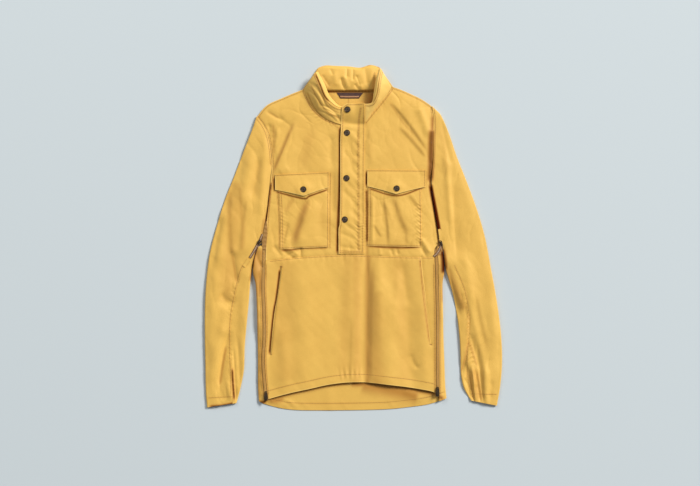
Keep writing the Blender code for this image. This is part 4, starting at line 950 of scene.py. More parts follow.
def bars(name, starts, ends, wide, tall):
    # a small rounded bar from each start to its end, all in one mesh, in millimetres
    run = ends - starts
    side = np.cross(run, [0.0, 0.0, 1.0])
    side /= np.linalg.norm(side, axis=1)[:, None]
    up = np.cross(side, run)
    up /= np.linalg.norm(up, axis=1)[:, None]
    rings = [starts]
    for share in (0.18, 0.82):
        middle = starts + share * run
        rings += [middle + side * wide, middle + up * tall, middle - side * wide, middle - up * tall]
    verts = np.stack(rings + [ends], axis=1).reshape(-1, 3)
    faces = []
    for base in range(0, len(verts), 10):
        for i in range(4):
            n = (i + 1) % 4
            a, b, c, d = base + 1 + i, base + 1 + n, base + 5 + i, base + 5 + n
            faces += [(a, b, base), (a, c, d, b), (d, c, base + 9)]
    mesh = bpy.data.meshes.new(name)
    mesh.from_pydata((verts * mm).tolist(), [], faces)
    mesh.shade_smooth()
    made = bpy.data.objects.new(name, mesh)
    bpy.context.scene.collection.objects.link(made)
    return made


def surfaceOf(made):  # the top of a piece at any places
    tree = BVHTree.FromPolygons([v.co for v in made.data.vertices], [p.vertices for p in made.data.polygons])

    def top(x, y):
        out = []
        for px, py in zip(x, y):
            hit = tree.ray_cast(Vector((px * mm, py * mm, 1.0)), Vector((0, 0, -1)))[0]
            out.append(np.nan if hit is None else hit.z / mm)
        return np.array(out)

    return top


stitching = {
    "pitch": 3.6,
    "length": 2.5,
    "wide": 0.5,  # thicker than real thread, so that it shows
    "tall": 0.34,
    "lift": 0.05,
    "pressed": 0.2,  # painted shade along the stitching, for its groove
    "reach": 1.7,
}


def paintSeamShade(host, line):  # painted shade along a row of stitches, for the groove that the stitches draw in the cloth
    mesh = host.data
    co = np.empty(len(mesh.vertices) * 3)
    mesh.vertices.foreach_get("co", co)
    co = co.reshape(-1, 3) / mm
    shade = np.empty(len(co))
    mesh.attributes["deep"].data.foreach_get("value", shade)
    where, away, _, _ = nearLine(co[:, 0], co[:, 1], line, 3 * stitching["reach"])
    if len(where):
        pressed = stitching["pressed"] * np.exp(-((away / stitching["reach"]) ** 2))
        shade[where] = np.maximum(shade[where], pressed)
        mesh.attributes["deep"].data.foreach_set("value", shade)


def stitchRows(name, host, rows, pitch=None):  # rows of route and distance beside it
    s = stitching
    pitch = pitch or s["pitch"]
    top = surfaceOf(host)
    starts, ends = [], []
    for route, away in rows:
        line = offset(dense(route, 1.0), away)
        paintSeamShade(host, line)
        along = lengthAlong(line)
        first = np.arange(0.5, along[-1] - s["length"], pitch)
        for where, spots in ((first, starts), (first + s["length"] * pitch / s["pitch"], ends)):
            x, y = [np.interp(where, along, values) for values in line.T]
            spots.append(np.column_stack([x, y, top(x, y) + s["lift"]]))
    starts, ends = np.vstack(starts), np.vstack(ends)
    good = np.isfinite(starts[:, 2] + ends[:, 2]) & (np.abs(starts[:, 2] - ends[:, 2]) < 2.0)
    made = bars(name, starts[good], ends[good], s["wide"], s["tall"])
    return finish(made, (), thread)


def between(left, right, columns):
    share = np.linspace(0, 1, columns + 1)[None, :, None]
    return left[:, None, :] * (1 - share) + right[:, None, :] * share


def withHeight(flat, height):
    return np.concatenate([flat, height(flat[..., 0], flat[..., 1])[..., None]], axis=2)


# the fasteners' heights, which the cloth below them meets

placketShape = {
    "rows": [  # left x, y, right x, y
        (-14, 308, 25, 308), (-24, 301, 26, 301), (-27, 288, 26, 288), (-28, 260, 26, 262),
        (-30, 225, 26, 225), (-30, 178, 25, 178), (-30, 130, 25, 130), (-30, 83, 25, 83),
        (-31, 36, 25, 36), (-34, 20, 24, 20), (-34, -8, 24, -8), (-34, -37, 24, -37),
    ],
    "thick": 0.9,
    "gap": 0.35,
    "openLift": 1.3,  # the free left edge stands up a little
    "liftReach": 6.0,
    "bend": 261.0,  # from here up it stands with the collar
    "run": 47.0,
    "rise": (6.0, 11.5),  # at its left and right edge
    "riseWidth": 26.0,
}
pocketShape = {
    "left": [(-176, 141, -57, 141), (-172, 90, -57, 92), (-170, 40, -57, 40), (-169, -26, -57, -21)],
    "right": [(33, 150, 155, 149), (33, 95, 155, 95), (32, 40, 156, 40), (31, -18, 156, -21)],
    "thick": 0.8,
    "gap": 0.15,
    "puff": 1.5,
}
flapShape = {
    # left x, y, right x, y, side, point, where the point is
    "left": (-180, 145, -56, 151, 35, 17, 0.53),
    "right": (32, 156, 166, 155, 38, 17, 0.49),
    "thick": 0.8,
    "gap": 0.3,
    "swell": 0.9,
    "footLift": 1.1,
}


def pocketSwell(x, y, side):
    rows = byRow(pocketShape[side], 40)
    left = np.interp(y, rows[::-1, 1], rows[::-1, 0])
    right = np.interp(y, rows[::-1, 3], rows[::-1, 2])
    u = np.clip((x - left) / (right - left), 0, 1)
    v = np.clip((y - rows[-1, 1]) / (rows[0, 1] - rows[-1, 1]), 0, 1)
    return pocketShape["puff"] * np.sin(math.pi * u) ** 0.5 * np.sin(math.pi * v) ** 0.4


def pocketHeight(x, y, side):
    return frontHeight(x, y) + pocketShape["thick"] + pocketShape["gap"] + pocketSwell(x, y, side)


def placketHeight(x, y):
    s = placketShape
    rows = byRow(s["rows"], 60)
    left = np.interp(y, rows[::-1, 1], rows[::-1, 0])
    lift = np.exp(-(((x - left) / s["liftReach"]) ** 2)) * s["openLift"]
    share = np.clip((y - s["bend"]) / s["run"], 0, 1)
    low, high = s["rise"]
    lift = lift + (low + (high - low) * ease(x / s["riseWidth"])) * np.sin(share * math.pi / 2) ** 0.9
    return frontHeight(x, y) + s["thick"] + s["gap"] + lift + creaseRise(x, y, placketCreases)


def flapHeight(x, y, side):
    s = flapShape
    leftX, leftY, rightX, rightY, drop, point, _ = s[side]
    top = leftY + (rightY - leftY) * (x - leftX) / (rightX - leftX)
    down = np.clip((top - y) / (drop + point), 0, 1)
    share = np.clip((x - leftX) / (rightX - leftX), 0, 1)
    swell = s["swell"] * np.sin(math.pi * share) ** 0.5 * down + s["footLift"] * down
    below = np.maximum(pocketSwell(x, y, side), 0)
    return frontHeight(x, y) + pocketShape["thick"] + below + s["thick"] + s["gap"] + swell


pinned = {
    "reach": 17.0,
    "sunk": 0.15,
    "dimple": 2.1,
    "dimpleReach": 8.5,
}


def pinTo(node, height):  # the cloth meets the fastener, and is drawn in round it
    s = pinned
    low, high = np.array(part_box(node)) / mm
    x, y = (low[:2] + high[:2]) / 2
    pins.append((x, y, s["reach"], float(low[2] + s["sunk"] + s["dimple"] - height(x, y))))
    pins.append((x, y, s["dimpleReach"], -s["dimple"]))


# each one's height depends on the pins before it
for node in ("collar", "placket_1", "placket_2", "placket_3"):
    pinTo("snap_" + node, placketHeight)
for side in bothSides:
    pinTo("snap_flap_" + side, lambda x, y: flapHeight(x, y, side))
print("fasteners")

# fronts and back


def bentToWaist(flat, rows):  # the lowest rows bend to the waist seam
    step = levelAt(cut["waist"], flat[0, :, 0]) - flat[0, :, 1]
    for r in range(rows):
        flat[r, :, 1] += step * (1 - r / rows) ** 2
    return flat


def outerLine(side):
    low = cut["waistCorner"][side]
    zipColumn = leftZip if side == "Left" else rightZip
    out = (cut["zipHalf"] + cut["seamGap"]) * (1 if side == "Left" else -1)
    foot = np.array([[sideAt(low, zipColumn) + out, low]])
    corner = np.array([[sideAt(cut["sideTop"], zipColumn) + out, cut["sideTop"] - 4]])
    hole = evenly(cut["armhole" + side][::-1], 125)
    shoulder = evenly(cut["shoulder" + side], 50)[1:]
    rise = np.linspace(0, 1, 11)[:-1, None]
    turn = np.linspace(0, 1, 6)[:-1, None]
    first = foot * (1 - rise) + corner * rise
    second = corner * (1 - turn) + hole[:1] * turn
    return np.vstack([first, second, hole, shoulder])


def chest(side, columns=84):
    left = side == "Left"
    outer = outerLine(side)
    centre = len(outer) - 50
    along = lengthAlong(outer[:centre])
    edge = cut["frontEdge"][side]
    straight = np.full((centre, 2), float(edge))
    straight[:, 1] = levelAt(cut["waist"], edge) + cut["frontLength"][side] * along / along[-1]
    inner = np.vstack([straight, evenly(cut["neck" + side], 49)])
    flat = between(outer, inner, columns) if left else between(inner, outer, columns)
    flat = bentToWaist(flat, 14)
    return clothPiece("chest" + side, ["chest_" + side.lower()], withHeight(flat, frontHeight),
                      pale="left" if left else "")


def lowerFront(columns=164, steps=130):
    share = np.linspace(0, 1, columns + 1)[None, :]
    down = np.linspace(1, 0, steps + 1)[:, None]
    y = np.full((steps + 1, columns + 1), -50.0)
    for _ in range(5):
        left = sideAt(y, leftZip) + cut["zipHalf"] + cut["seamGap"]
        right = sideAt(y, rightZip) - cut["zipHalf"] - cut["seamGap"]
        x = left + (right - left) * share
        top = levelAt(cut["waist"], x) - 2 * cut["seamGap"]
        y = top + (levelAt(cut["frontHem"], x) - top) * down
    hem = np.exp(-((y - levelAt(cut["frontHem"], x)) / cloth["hemReach"]) ** 2)
    z = frontHeight(x, y) + cloth["hemLift"] * hem * np.sin(math.pi * share) ** 0.5
    return clothPiece("lowerFront", ["lower_front"], np.stack([x, y, z], axis=2), pale="bottom")


# folds of the tail, which shows below the front hem
tailCreases = [
    (-190, -372, -186, -384, 0, 2, 2, 1.4, 1.0),
    (-150, -374, -130, -390, 0, 3, 3, 1.5, 1.2),
    (-120, -378, -104, -392, 0, 3, 3, 1.6, 0.8),
    (-30, -374, -14, -394, 0, 3, 3, 1.6, 0.6),
    (80, -372, 92, -390, 0, 3, 3, 1.6, 0.7),
    (150, -366, 140, -384, 0, 3, 3, 1.6, 0.8),
    (190, -362, 180, -378, 0, 3, 3, 1.6, 0.9),
    (-176, -378, -150, -388, 0, 3, 3, 1.6, 1.2),
    (-186, -376, -166, -390, 0, 2, 2, 1.6, 1.0),
    (-160, -372, -138, -384, 0, 3, 3, 1.6, 1.0),
    (-60, -345, -52, -396, 0, 12, 12, 2.0, 0.8),
    (20, -340, 60, -360, 0, 10, 10, 2.0, 0.6),
    (120, -352, 160, -372, 0, 10, 10, 2.0, 1.2),
]


def backRow(y, columns, thick, strip=7, arcSteps=5):
    left, right = sideAt(y, leftFold), sideAt(y, rightFold)
    gap = cut["zipHalf"] + cut["seamGap"]
    zipL, zipR = sideAt(y, leftZip) - gap, sideAt(y, rightZip) + gap
    halfL = min(cloth["foldRound"], (zipL - left) * 0.6)
    halfR = min(cloth["foldRound"], (right - zipR) * 0.6)
    footL, footR = left + halfL, right - halfR
    row = []
    for foot, half, end, way in ((footL, halfL, zipL, -1), (footR, halfR, zipR, 1)):
        high = float(frontHeight(foot, y))
        xs = foot + (end - foot) * np.linspace(1, 0, strip)
        part = [(x, z - thick) for x, z in zip(xs, frontHeight(xs, np.full(strip, y)))]
        for k in range(arcSteps, 0, -1):
            angle = -math.pi / 2 + k * math.pi / (arcSteps + 1)
            x = foot + way * (half - thick) * math.cos(angle)
            part.append((x, high / 2 + (high / 2 - thick) * math.sin(angle)))
        row.append(part)
    flat = [(x, thick) for x in np.linspace(footL, footR, columns + 1)]
    full = row[0] + flat + row[1][::-1]
    return np.array([(x, y, z) for x, z in full])


def backPanel(columns=100, strip=7, arcSteps=5):
    side = strip + arcSteps
    foot = cut["sides"][0][0]
    tailTop = cloth["tailTop"]
    levels = np.concatenate([np.linspace(foot, tailTop, 20), np.linspace(tailTop + 5, cut["sideTop"], 100)])
    outer, inner = [], []
    for y in levels:
        down = (1 - (y - foot) / (cut["sideTop"] - foot)) ** 6
        for thick, grid in ((0.0, outer), (cloth["thick"], inner)):
            row = backRow(y, columns, thick, strip, arcSteps)
            row[:, 1] += (levelAt(cut["tailHem"], row[:, 0]) - foot) * down
            grid.append(row)
    left = np.vstack([evenly(cut["armholeLeft"][::-1], 60), evenly(cut["shoulderLeft"], 24)[1:]])
    right = np.vstack([evenly(cut["armholeRight"][::-1], 60), evenly(cut["shoulderRight"], 24)[1:]])
    share = np.linspace(0, 1, columns + 1)[:, None]
    top = left[-1] * (1 - share) + right[-1] * share
    sag = levelAt(cut["backNeck"], top[:, 0]) - top[:, 1]
    for k, (a, b) in enumerate(zip(left, right)):
        row = a * (1 - share) + b * share
        row[:, 1] += sag * max(k + 25 - len(left), 0) / 24
        for z, grid in ((0.0, outer), (cloth["thick"], inner)):
            flat = np.column_stack([row, np.full(len(row), z)])
            grid.append(np.vstack([flat[:1]] * side + [flat] + [flat[-1:]] * side))
    outer, inner = np.array(outer), np.array(inner)
    edge = len(levels)

    def keep(r, c):
        return (r < edge) | ((c >= side) & (c < side + columns))

    x, y = inner[..., 0], inner[..., 1]
    tail = np.zeros_like(x)
    tail[:, side : side + columns + 1] = 1
    lift = creaseRise(x, y, tailCreases)
    shown = tail * ease((tailTop - y) / cloth["tailFade"])
    inner[..., 2] += np.maximum(lift + cloth["tailLift"], 0) * shown
    # seen from outside, that is from below, the columns run the other way
    outer, inner = outer[:, ::-1], inner[:, ::-1]
    made = wallMesh("backPanel", outer, inner, keep)
    return finish(made, ["back_panel"])


chestLeft = chest("Left")
chestRight = chest("Right")
frontLow = lowerFront()
back = backPanel()
print("fronts and back")

# sleeves

sleeveShape = {
    # outer x, y, inner x, y, how much of the armhole's curve is left, drop, where the seam lies
    "Left": [
        (-222, 278, -205, -12, 1.0, 0.0, 0.90),
        (-238, 236, -213, -13, 0.8, 0.3, 0.90),
        (-255, 193, -220, -19, 0.6, 0.6, 0.90),
        (-275, 140, -226, -33, 0.4, 0.9, 0.91),
        (-296, 87, -230, -50, 0.2, 1.0, 0.93),
        (-316, 22, -233, -72, 0.1, 1.0, 0.84),
        (-331, -37, -237, -100, 0.0, 1.0, 0.77),
        (-339, -102, -240, -143, 0.0, 1.0, 0.70),
        (-342, -166, -245, -194, 0.0, 1.0, 0.65),
        (-342, -231, -250, -249, 0.0, 1.0, 0.66),
        (-341, -293, -252, -304, 0.0, 1.0, 0.70),
        (-340, -350, -261, -350, 0.0, 1.0, 0.80),
        (-337, -390, -269, -380, 0.0, 0.8, 0.90),
    ],
    "Right": [
        (181, 301, 198, -12, 1.0, 0.0, 0.90),
        (201, 282, 203, -13, 0.8, 0.3, 0.90),
        (220, 239, 206, -24, 0.6, 0.6, 0.90),
        (238, 186, 208, -42, 0.4, 0.9, 0.91),
        (259, 133, 211, -68, 0.2, 1.0, 0.86),
        (282, 71, 220, -100, 0.1, 1.0, 0.83),
        (302, 4, 231, -139, 0.0, 1.0, 0.78),
        (317, -74, 239, -185, 0.0, 1.0, 0.74),
        (330, -148, 244, -231, 0.0, 1.0, 0.80),
        (339, -217, 246, -272, 0.0, 1.0, 0.88),
        (342, -281, 247, -313, 0.0, 1.0, 0.90),
        (338, -339, 254, -346, 0.0, 1.0, 0.90),
        (330, -386, 270, -374, 0.0, 0.8, 0.90),
    ],
    "rings": 170,
    "cadRings": 17,
    "upper": 42,  # columns above the seam
    "under": 16,  # and below it
    "armpitTuck": 3.0,
    "armholeGap": 0.45,
    "seamShare": 0.9,  # where the seam meets the armhole
    "leastRound": 1.9,
    "roundSteps": 8,
    "backColumns": 10,
    "cuffRow": 9,  # rings between the cuff's edge and its stitching
}


def sleeve(side):
    s = sleeveShape
    way = -1 if side == "Left" else 1
    upper, under = s["upper"], s["under"]
    meet = s["seamShare"]
    shares = np.concatenate([np.linspace(0, meet, upper + 1), np.linspace(meet, 1, under + 1)[1:]])
    hole = atShares(smoothCurve(cut["armhole" + side]), shares)
    chord = hole[-1] - hole[0]
    length = np.linalg.norm(chord)
    run = chord / length
    square = np.array([-run[1], run[0]])
    holeShare = (hole - hole[0]) @ run / length
    holeBow = (hole - hole[0]) @ square
    tops, lifts, lines = [], [], []
    for r, values in enumerate(byRow(s[side], s["rings"])):
        outerX, outerY, innerX, innerY, bow, lift, seam = values
        ring = r * s["cadRings"] / s["rings"]
        a, b = np.array([outerX, outerY]), np.array([innerX, innerY])
        line = b - a
        size = np.linalg.norm(line)
        line = line / size
        half = cloth["foldRound"] * min(ring, 1)
        share = np.concatenate([seam * np.linspace(0, 1, upper + 1),
                                seam + (1 - seam) * np.linspace(0, 1, under + 1)[1:]])
        share = share + (holeShare - share) * max(1 - ring / 3, 0)
        start = a + line * half
        spot = start + line * (size - 2 * half) * share[:, None]
        spot = spot + np.array([-line[1], line[0]]) * (holeBow * bow)[:, None]
        spot[:, 0] += way * s["armholeGap"] * max(1 - ring, 0)
        spot[-1] -= line * s["armpitTuck"] * max(1 - ring, 0)
        tops.append(spot)
        edge = np.minimum(np.linalg.norm(spot - a, axis=1), np.linalg.norm(spot - b, axis=1))
        lifts.append(-cloth["foldDrop"] * lift * np.exp(-((edge / cloth["foldReach"]) ** 2)))
        lines.append(line)
    tops, lifts, lines = np.array(tops), np.array(lifts), np.array(lines)
    high = sleeveHeight(tops[..., 0], tops[..., 1]) + lifts
    ringAt = np.arange(len(tops)) * s["cadRings"] / s["rings"]
    radius = np.maximum(cloth["foldRound"] * np.minimum(ringAt, 1), s["leastRound"])
    made = {"seam": tops[:, upper], "cuff": tops[-s["cuffRow"]][2:-2:8]}
    # from the seam out to the fold, round it, and back below
    for part, columns, out in (("upper", np.arange(upper, -1, -1), -lines),
                               ("under", np.arange(upper, upper + under + 1), lines)):
        grids = []
        spot, tall = tops[:, columns], high[:, columns]
        spot[:, 0] += out * cut["seamGap"]
        foldHigh = tall[:, -1]
        pick = np.linspace(spot.shape[1] - 1, 0, s["backColumns"]).round().astype(int)
        for thick in (0.0, cloth["thick"]):
            rows = [np.concatenate([spot, (tall - thick)[..., None]], axis=2)]
            for k in range(1, s["roundSteps"]):
                angle = math.pi / 2 - k * math.pi / s["roundSteps"]
                p = spot[:, -1] + out * ((radius - thick) * math.cos(angle))[:, None]
                z = foldHigh / 2 + (foldHigh / 2 - thick) * math.sin(angle)
                rows.append(np.column_stack([p, z])[:, None, :])
            below = spot[:, pick]
            flat = np.full(below.shape[:2] + (1,), thick)
            rows.append(np.concatenate([below, flat], axis=2))
            grids.append(np.concatenate(rows, axis=1))
        outer, inner = grids
        if (way < 0) == (part == "upper"):
            outer, inner = outer[::-1], inner[::-1]
        piece = wallMesh(f"sleeve{part.capitalize()}{side}", outer[::-1], inner[::-1], grain=20 * way,
                         pale="top")
        finish(piece, [f"sleeve_{part}_{side.lower()}"])
        made[part] = piece
    return made


sleeves = {side: sleeve(side) for side in ("Left", "Right")}
print("sleeves")

# collar with the stowed hood

collarShape = {
    "thick": 1.8,
    "worn": {"left": 0.2, "right": 0.7},  # painted highlight over the whole of each collar front
    "foldHeight": {"left": 0.68, "right": 1.0},  # of the creases below
    # top x, y, height of the seam and of the top edge, width of the lip inside that edge
    "left": [
        (-16, 297, 7.6, 12, 2), (-37, 299, 7.6, 15, 6), (-54, 310, 7.6, 20, 9),
        (-66, 324, 7.6, 25, 10), (-76, 348, 7.2, 28, 10), (-88, 377, 6.6, 22, 7),
    ],
    "right": [
        (8.6, 305, 7.6, 13, 0.6), (26, 306, 7.6, 17, 0.6), (43, 308, 7.6, 21, 2),
        (53, 328, 7.4, 27, 7), (58, 358, 7.2, 30, 7), (63, 385, 6.6, 22, 5),
    ],
    "seamGap": 0.6,
    "clear": 0.4,
    "curve": 0.9,
    "lipDrop": 6.0,
    "lipCurve": 2.2,
    "lipLift": 0.5,
    "fullLip": 5.0,  # a lip this wide rolls over fully
    "groove": 1.6,
    "grooveWidth": 1.3,
    # below this height it tucks under the placket, whose edges are left and right
    "tuck": {"top": 309, "left": -28, "right": 26, "slope": 1.6, "gap": 0.35},
    "backTop": [
        (-89, 379), (-84, 387), (-78, 392), (-63, 396), (-42, 395), (-13, 394),
        (15, 391), (38, 397), (56, 393), (62, 389), (65, 383),
    ],
    "hoodThick": 11.0,
    "hoodEdge": 3.0,
    "hoodArch": (0.12, 0.80),  # where the arch over it starts, and its span
    "hoodRims": (14, 9, 20),  # how steeply it rises from its seam, its free edge and its ends
    "gathers": [
        (-29, 366, -20, 340, 2, 5, 3, 1.1, -3.4),
        (-15, 390, -15, 368, 0, 4, 3, 1.2, -3.0),
        (-1, 388, -1, 362, 0, 4, 3, 1.2, -3.0),
        (6, 372, 15, 350, 0, 5, 3, 1.1, -3.2),
        (3, 352, 13, 337, 0, 4, 3, 1.2, -2.6),
        (-54, 388, -47, 374, 0, 5, 3, 1.3, -2.6),
        (-44, 380, -40, 350, 0, 7, 7, 2.0, 1.6),
        (-72, 372, -56, 348, 0, 5, 3, 1.2, -2.6),
        (-22, 372, -12, 344, 0, 5, 5, 2.0, 1.6),
        (26, 392, 32, 352, 0, 6, 6, 1.6, -2.2),
        (8, 366, 20, 342, 0, 4, 4, 2.0, 1.4),
        (44, 388, 40, 356, 0, 6, 6, 2.0, 1.4),
        (36, 396, 60, 394, 2, 3, 3, 1.6, -1.4),
    ],
    "creases": [
        (-92, 352, -66, 306, -3, 2.5, 2, 1.2, -1.6),
        (-102, 345, -76, 300, -4, 2.5, 2, 1.2, -1.5),
        (-70, 295, -32, 268, -5, 2.5, 2, 1.2, -1.6),
        (-97, 352, -62, 301, -3, 4, 3, 1.3, -2.4),
        (-104, 338, -70, 296, -4, 4, 3, 1.3, -2.0),
        (-108, 330, -84, 292, -3, 3, 3, 1.4, -1.6),
        (-88, 350, -68, 316, -2, 3, 3, 1.4, -1.6),
        (-72, 303, -30, 266, -7, 5, 3, 1.1, -3.4),
        (-84, 292, -34, 259, -6, 4, 3, 1.3, -2.0),
        (-60, 286, -28, 284, 3, 4, 4, 1.6, 1.8),
        (-58, 300, -36, 291, 0, 5, 5, 1.8, -1.6),
        (60, 345, 44, 306, 0, 9, 9, 2.0, 1.0),
        (74, 346, 60, 318, 0, 7, 7, 2.0, -1.2),
        (33, 296, 54, 310, 0, 5, 5, 1.6, -1.0),
        (28, 272, 48, 296, 0, 5, 5, 1.6, 0.8),
    ],
}


def collarFront(side, steps=60, across=34, lipSteps=9):
    s = collarShape
    table = np.array(s[side], float)
    seam = evenly(cut["neck" + side.capitalize()], len(table) - 1)
    rows = byRow(np.hstack([table, seam]), steps)
    top, lip, foot = rows[:, 0:2], rows[:, 4:5], rows[:, 5:7]
    size = np.linalg.norm(top - foot, axis=1)
    share = np.linspace(0, 1, across + 1)[:, None]
    start = s["seamGap"] / size
    part = start + (1 - start) * share
    x = foot[:, 0] + (top[:, 0] - foot[:, 0]) * part
    y = foot[:, 1] + (top[:, 1] - foot[:, 1]) * part
    z = rows[:, 2] + (rows[:, 3] - rows[:, 2]) * np.sin(share * math.pi / 2) ** s["curve"]
    folds = creaseRise(x, y, s["creases"]) * s["foldHeight"][side]
    z = z + folds * np.sin(share * math.pi) ** 0.3
    z = np.maximum(z, np.where(share > 0, frontHeight(x, y) + s["clear"] + s["thick"], z))
    # over the top edge and down the inside, square to that edge
    into = rightOf(top) * (1 if side == "left" else -1)
    down = np.linspace(0, 1, lipSteps + 1)[1:, None]
    full = np.minimum(lip[:, 0] / s["fullLip"], 1)
    inside = top + into * lip * down[..., None]
    roll = np.exp(-((down * lip[:, 0] / s["grooveWidth"]) ** 2)) * full
    lipZ = z[-1] - s["lipDrop"] * down ** s["lipCurve"] * full - s["groove"] * roll + s["lipLift"]
    x = np.vstack([x, inside[..., 0]])
    y = np.vstack([y, inside[..., 1]])
    z = np.vstack([z, lipZ])
    z[across] -= s["groove"] * full * 0.7
    tuck = s["tuck"]
    tucked = placketHeight(x, y) - placketShape["thick"] - tuck["gap"]
    beside = np.maximum(x - tuck["right"], 0) + np.maximum(tuck["left"] - x, 0)
    z = np.where(y < tuck["top"], np.minimum(z, tucked + tuck["slope"] * beside), z)
    grid = np.stack([x, y, z], axis=2)
    if side == "left":
        grid = grid[:, ::-1]
    return clothPiece("collar" + side.capitalize(), ["collar_" + side], grid, s["thick"], bulge=0.5,
                      grain=35, pale="top", worn=s["worn"][side])


def collarBack(columns=130, steps=40):
    s = collarShape
    x0 = np.linspace(cut["backNeck"][0][0], cut["backNeck"][-1][0], columns + 1)
    seam = np.column_stack([x0, levelAt(cut["backNeck"], x0)])
    edge = evenly(s["backTop"], columns)
    share = np.linspace(0, 1, steps + 1)[:, None, None]
    flat = seam * (1 - share) + edge * share
    x, y = flat[..., 0], flat[..., 1] + cut["seamGap"] * (1 - share[..., 0])
    share = share[..., 0]
    c = np.linspace(0, 1, columns + 1)[None, :]
    ends = np.sin(math.pi * c) ** 0.45
    start, span = s["hoodArch"]
    swell = np.sin(math.pi * (start + span * share)) ** 0.7
    z = s["hoodEdge"] + (s["hoodThick"] - s["hoodEdge"]) * swell * ends
    z += creaseRise(x, y, s["gathers"]) * ends * swell
    foot, free, end = s["hoodRims"]
    inside = np.minimum(np.minimum(share * foot, (1 - share) * free), np.minimum(c, 1 - c) * end)
    z = s["hoodEdge"] + (z - s["hoodEdge"]) * ease(inside)
    top = np.stack([x, y, z], axis=2)
    low = np.stack([x, y, np.zeros_like(x)], axis=2)
    made = wallMesh("collarBack", top, low, bulge=0.25)
    return finish(made, ["collar_back"])


collars = {side: collarFront(side) for side in bothSides}
hoodRoll = collarBack()
print("collar")

# placket, pockets and flaps


def stripGrid(rows, columns, steps, height):
    table = byRow(rows, steps)
    flat = between(table[:, 0:2], table[:, 2:4], columns)[::-1]
    return withHeight(flat, height)


def placket(columns=24, steps=132):
    grid = stripGrid(placketShape["rows"], columns, steps, placketHeight)
    return clothPiece("placketStrip", ["placket"], grid, placketShape["thick"], pale="left")


def pocket(side, columns=84, steps=116):
    grid = stripGrid(pocketShape[side], columns, steps, lambda x, y: pocketHeight(x, y, side))
    return clothPiece("chestPocket" + side.capitalize(), ["chest_pocket_" + side], grid,
                      pocketShape["thick"], pale="bottom")


def flap(side, columns=54, steps=24):
    leftX, leftY, rightX, rightY, drop, point, at = flapShape[side]
    down = np.linspace(1, 0, steps + 1)[:, None]
    share = np.linspace(0, 1, columns + 1)[None, :]
    x = leftX + (rightX - leftX) * share + 0 * down
    top = leftY + (rightY - leftY) * share
    to = np.where(share < at, share / at, (1 - share) / (1 - at))
    y = top - (drop + point * to**1.15) * down
    grid = np.stack([x, y, flapHeight(x, y, side)], axis=2)
    return clothPiece("pocketFlap" + side.capitalize(), ["pocket_flap_" + side], grid, flapShape["thick"],
                      pale="left bottom")


placketPiece = placket()
pockets = [pocket(side) for side in bothSides]
flaps = [flap(side) for side in bothSides]
print("placket, pockets and flaps")

# tapes, welts and the inside of the neck


tapeThick = 0.7


def ribbon(name, route, width, height, steps, columns=6, thick=tapeThick, material=None,
           slot="shell_cloth", nodes=(), lift=0.25):
    line = evenly(route, steps)
    across = np.linspace(-0.5, 0.5, columns + 1)
    flat = line[:, None, :] + rightOf(line)[:, None, :] * across[None, :, None] * width
    grid = withHeight(flat, lambda x, y: height(x, y) + lift + thick)
    return clothPiece(name, nodes, grid, thick, material, slot)


weltShape = {
    "left": [(-164.6, -70), (-167.6, -97), (-172.4, -132), (-178.3, -166), (-182.6, -201), (-188.6, -267)],
    "right": [(156, -45), (159, -74), (163, -109), (168, -143), (172, -178), (178, -244)],
    "width": 4.4,
    "mouth": 1.9,  # how far the dark sheet of painted shade in the slit lies beside it
    "mouthWidth": {"left": 2.0, "right": 1.0},
}
welts = [
    ribbon("pocketWelt" + side.capitalize(), weltShape[side], weltShape["width"], frontHeight, 80,
           nodes=["pocket_welt_" + side], lift=0.1)
    for side in bothSides
]

# a dark sheet in each pocket slit: painted shade of its opening
for side, way in (("left", 1), ("right", -1)):
    mouth = offset(dense(weltShape[side]), weltShape["mouth"] * way)
    ribbon("pocketMouth" + side.capitalize(), mouth[::12].tolist(), weltShape["mouthWidth"][side],
           frontHeight, 80, columns=2, thick=0.3, material=slitShadeMaterial, lift=-0.1)

underarmShape = {
    "left": [(-209, 8), (-215, -6), (-222.5, -20), (-230, -33), (-238, -46)],
    "right": [(203, -6), (200.5, -19), (196, -30), (190, -38), (184.5, -43)],
    "width": 5.6,
    "coilLift": 0.7,
}


coilShape = {
    "lock": 0.35,  # how far the turns reach past the middle
    "tall": 0.5,
    "lift": 0.5,
}


def coil(name, route, height, material, pitch, half, wide):
    # two rows of coil turns that lock along the middle of a zip
    s = coilShape
    line = dense(route, 0.5)
    along = lengthAlong(line)
    starts, ends = [], []
    for side, first in ((1, 0.0), (-1, pitch / 2)):
        where = np.arange(first + 0.5, along[-1] - 0.5, pitch)
        for away, spots in ((-s["lock"] * side, starts), (half * side, ends)):
            x, y = [np.interp(where, along, values) for values in offset(line, away).T]
            spots.append(np.column_stack([x, y, height(x, y) + s["lift"]]))
    made = bars(name, np.vstack(starts), np.vstack(ends), wide, s["tall"])
    return finish(made, (), material)


underarmRules = {"left": (sleeveHeight, 40), "right": (frontHeight, 30)}  # what it lies on, rows
underarms = [
    ribbon("underarmZip" + side.capitalize(), underarmShape[side], underarmShape["width"], rule, steps,
           material=darkTape, slot="zip_tape", nodes=["underarm_zip_" + side], lift=0.0)
    for side, (rule, steps) in underarmRules.items()
]
for side, (rule, _) in underarmRules.items():
    coil("underarmCoil" + side.capitalize(), underarmShape[side],
         lambda x, y: rule(x, y) + underarmShape["coilLift"], paleCoil, pitch=2.3, half=1.6, wide=0.5)
armTab = ribbon("underarmTab", [(-241, -49), (-246, -57), (-252, -66)], 7.0, sleeveHeight, 16, lift=0.6)
garage = {
    # where a side zip's tape runs on up into the armhole: middle x, y, half width
    "left": [(-205, -27, 4.2), (-205, -12, 5.0), (-203.5, 6, 4.6), (-202, 22, 3.2), (-200, 38, 1.0)],
    "right": [(191.5, -42, 6.0), (196, -32, 7.0), (198, -22, 6.0), (198.5, -12, 4.0), (197, 0, 1.5)],
    "lift": {"left": 0.35, "right": 0.2},
    "pucker": 0.35,
}


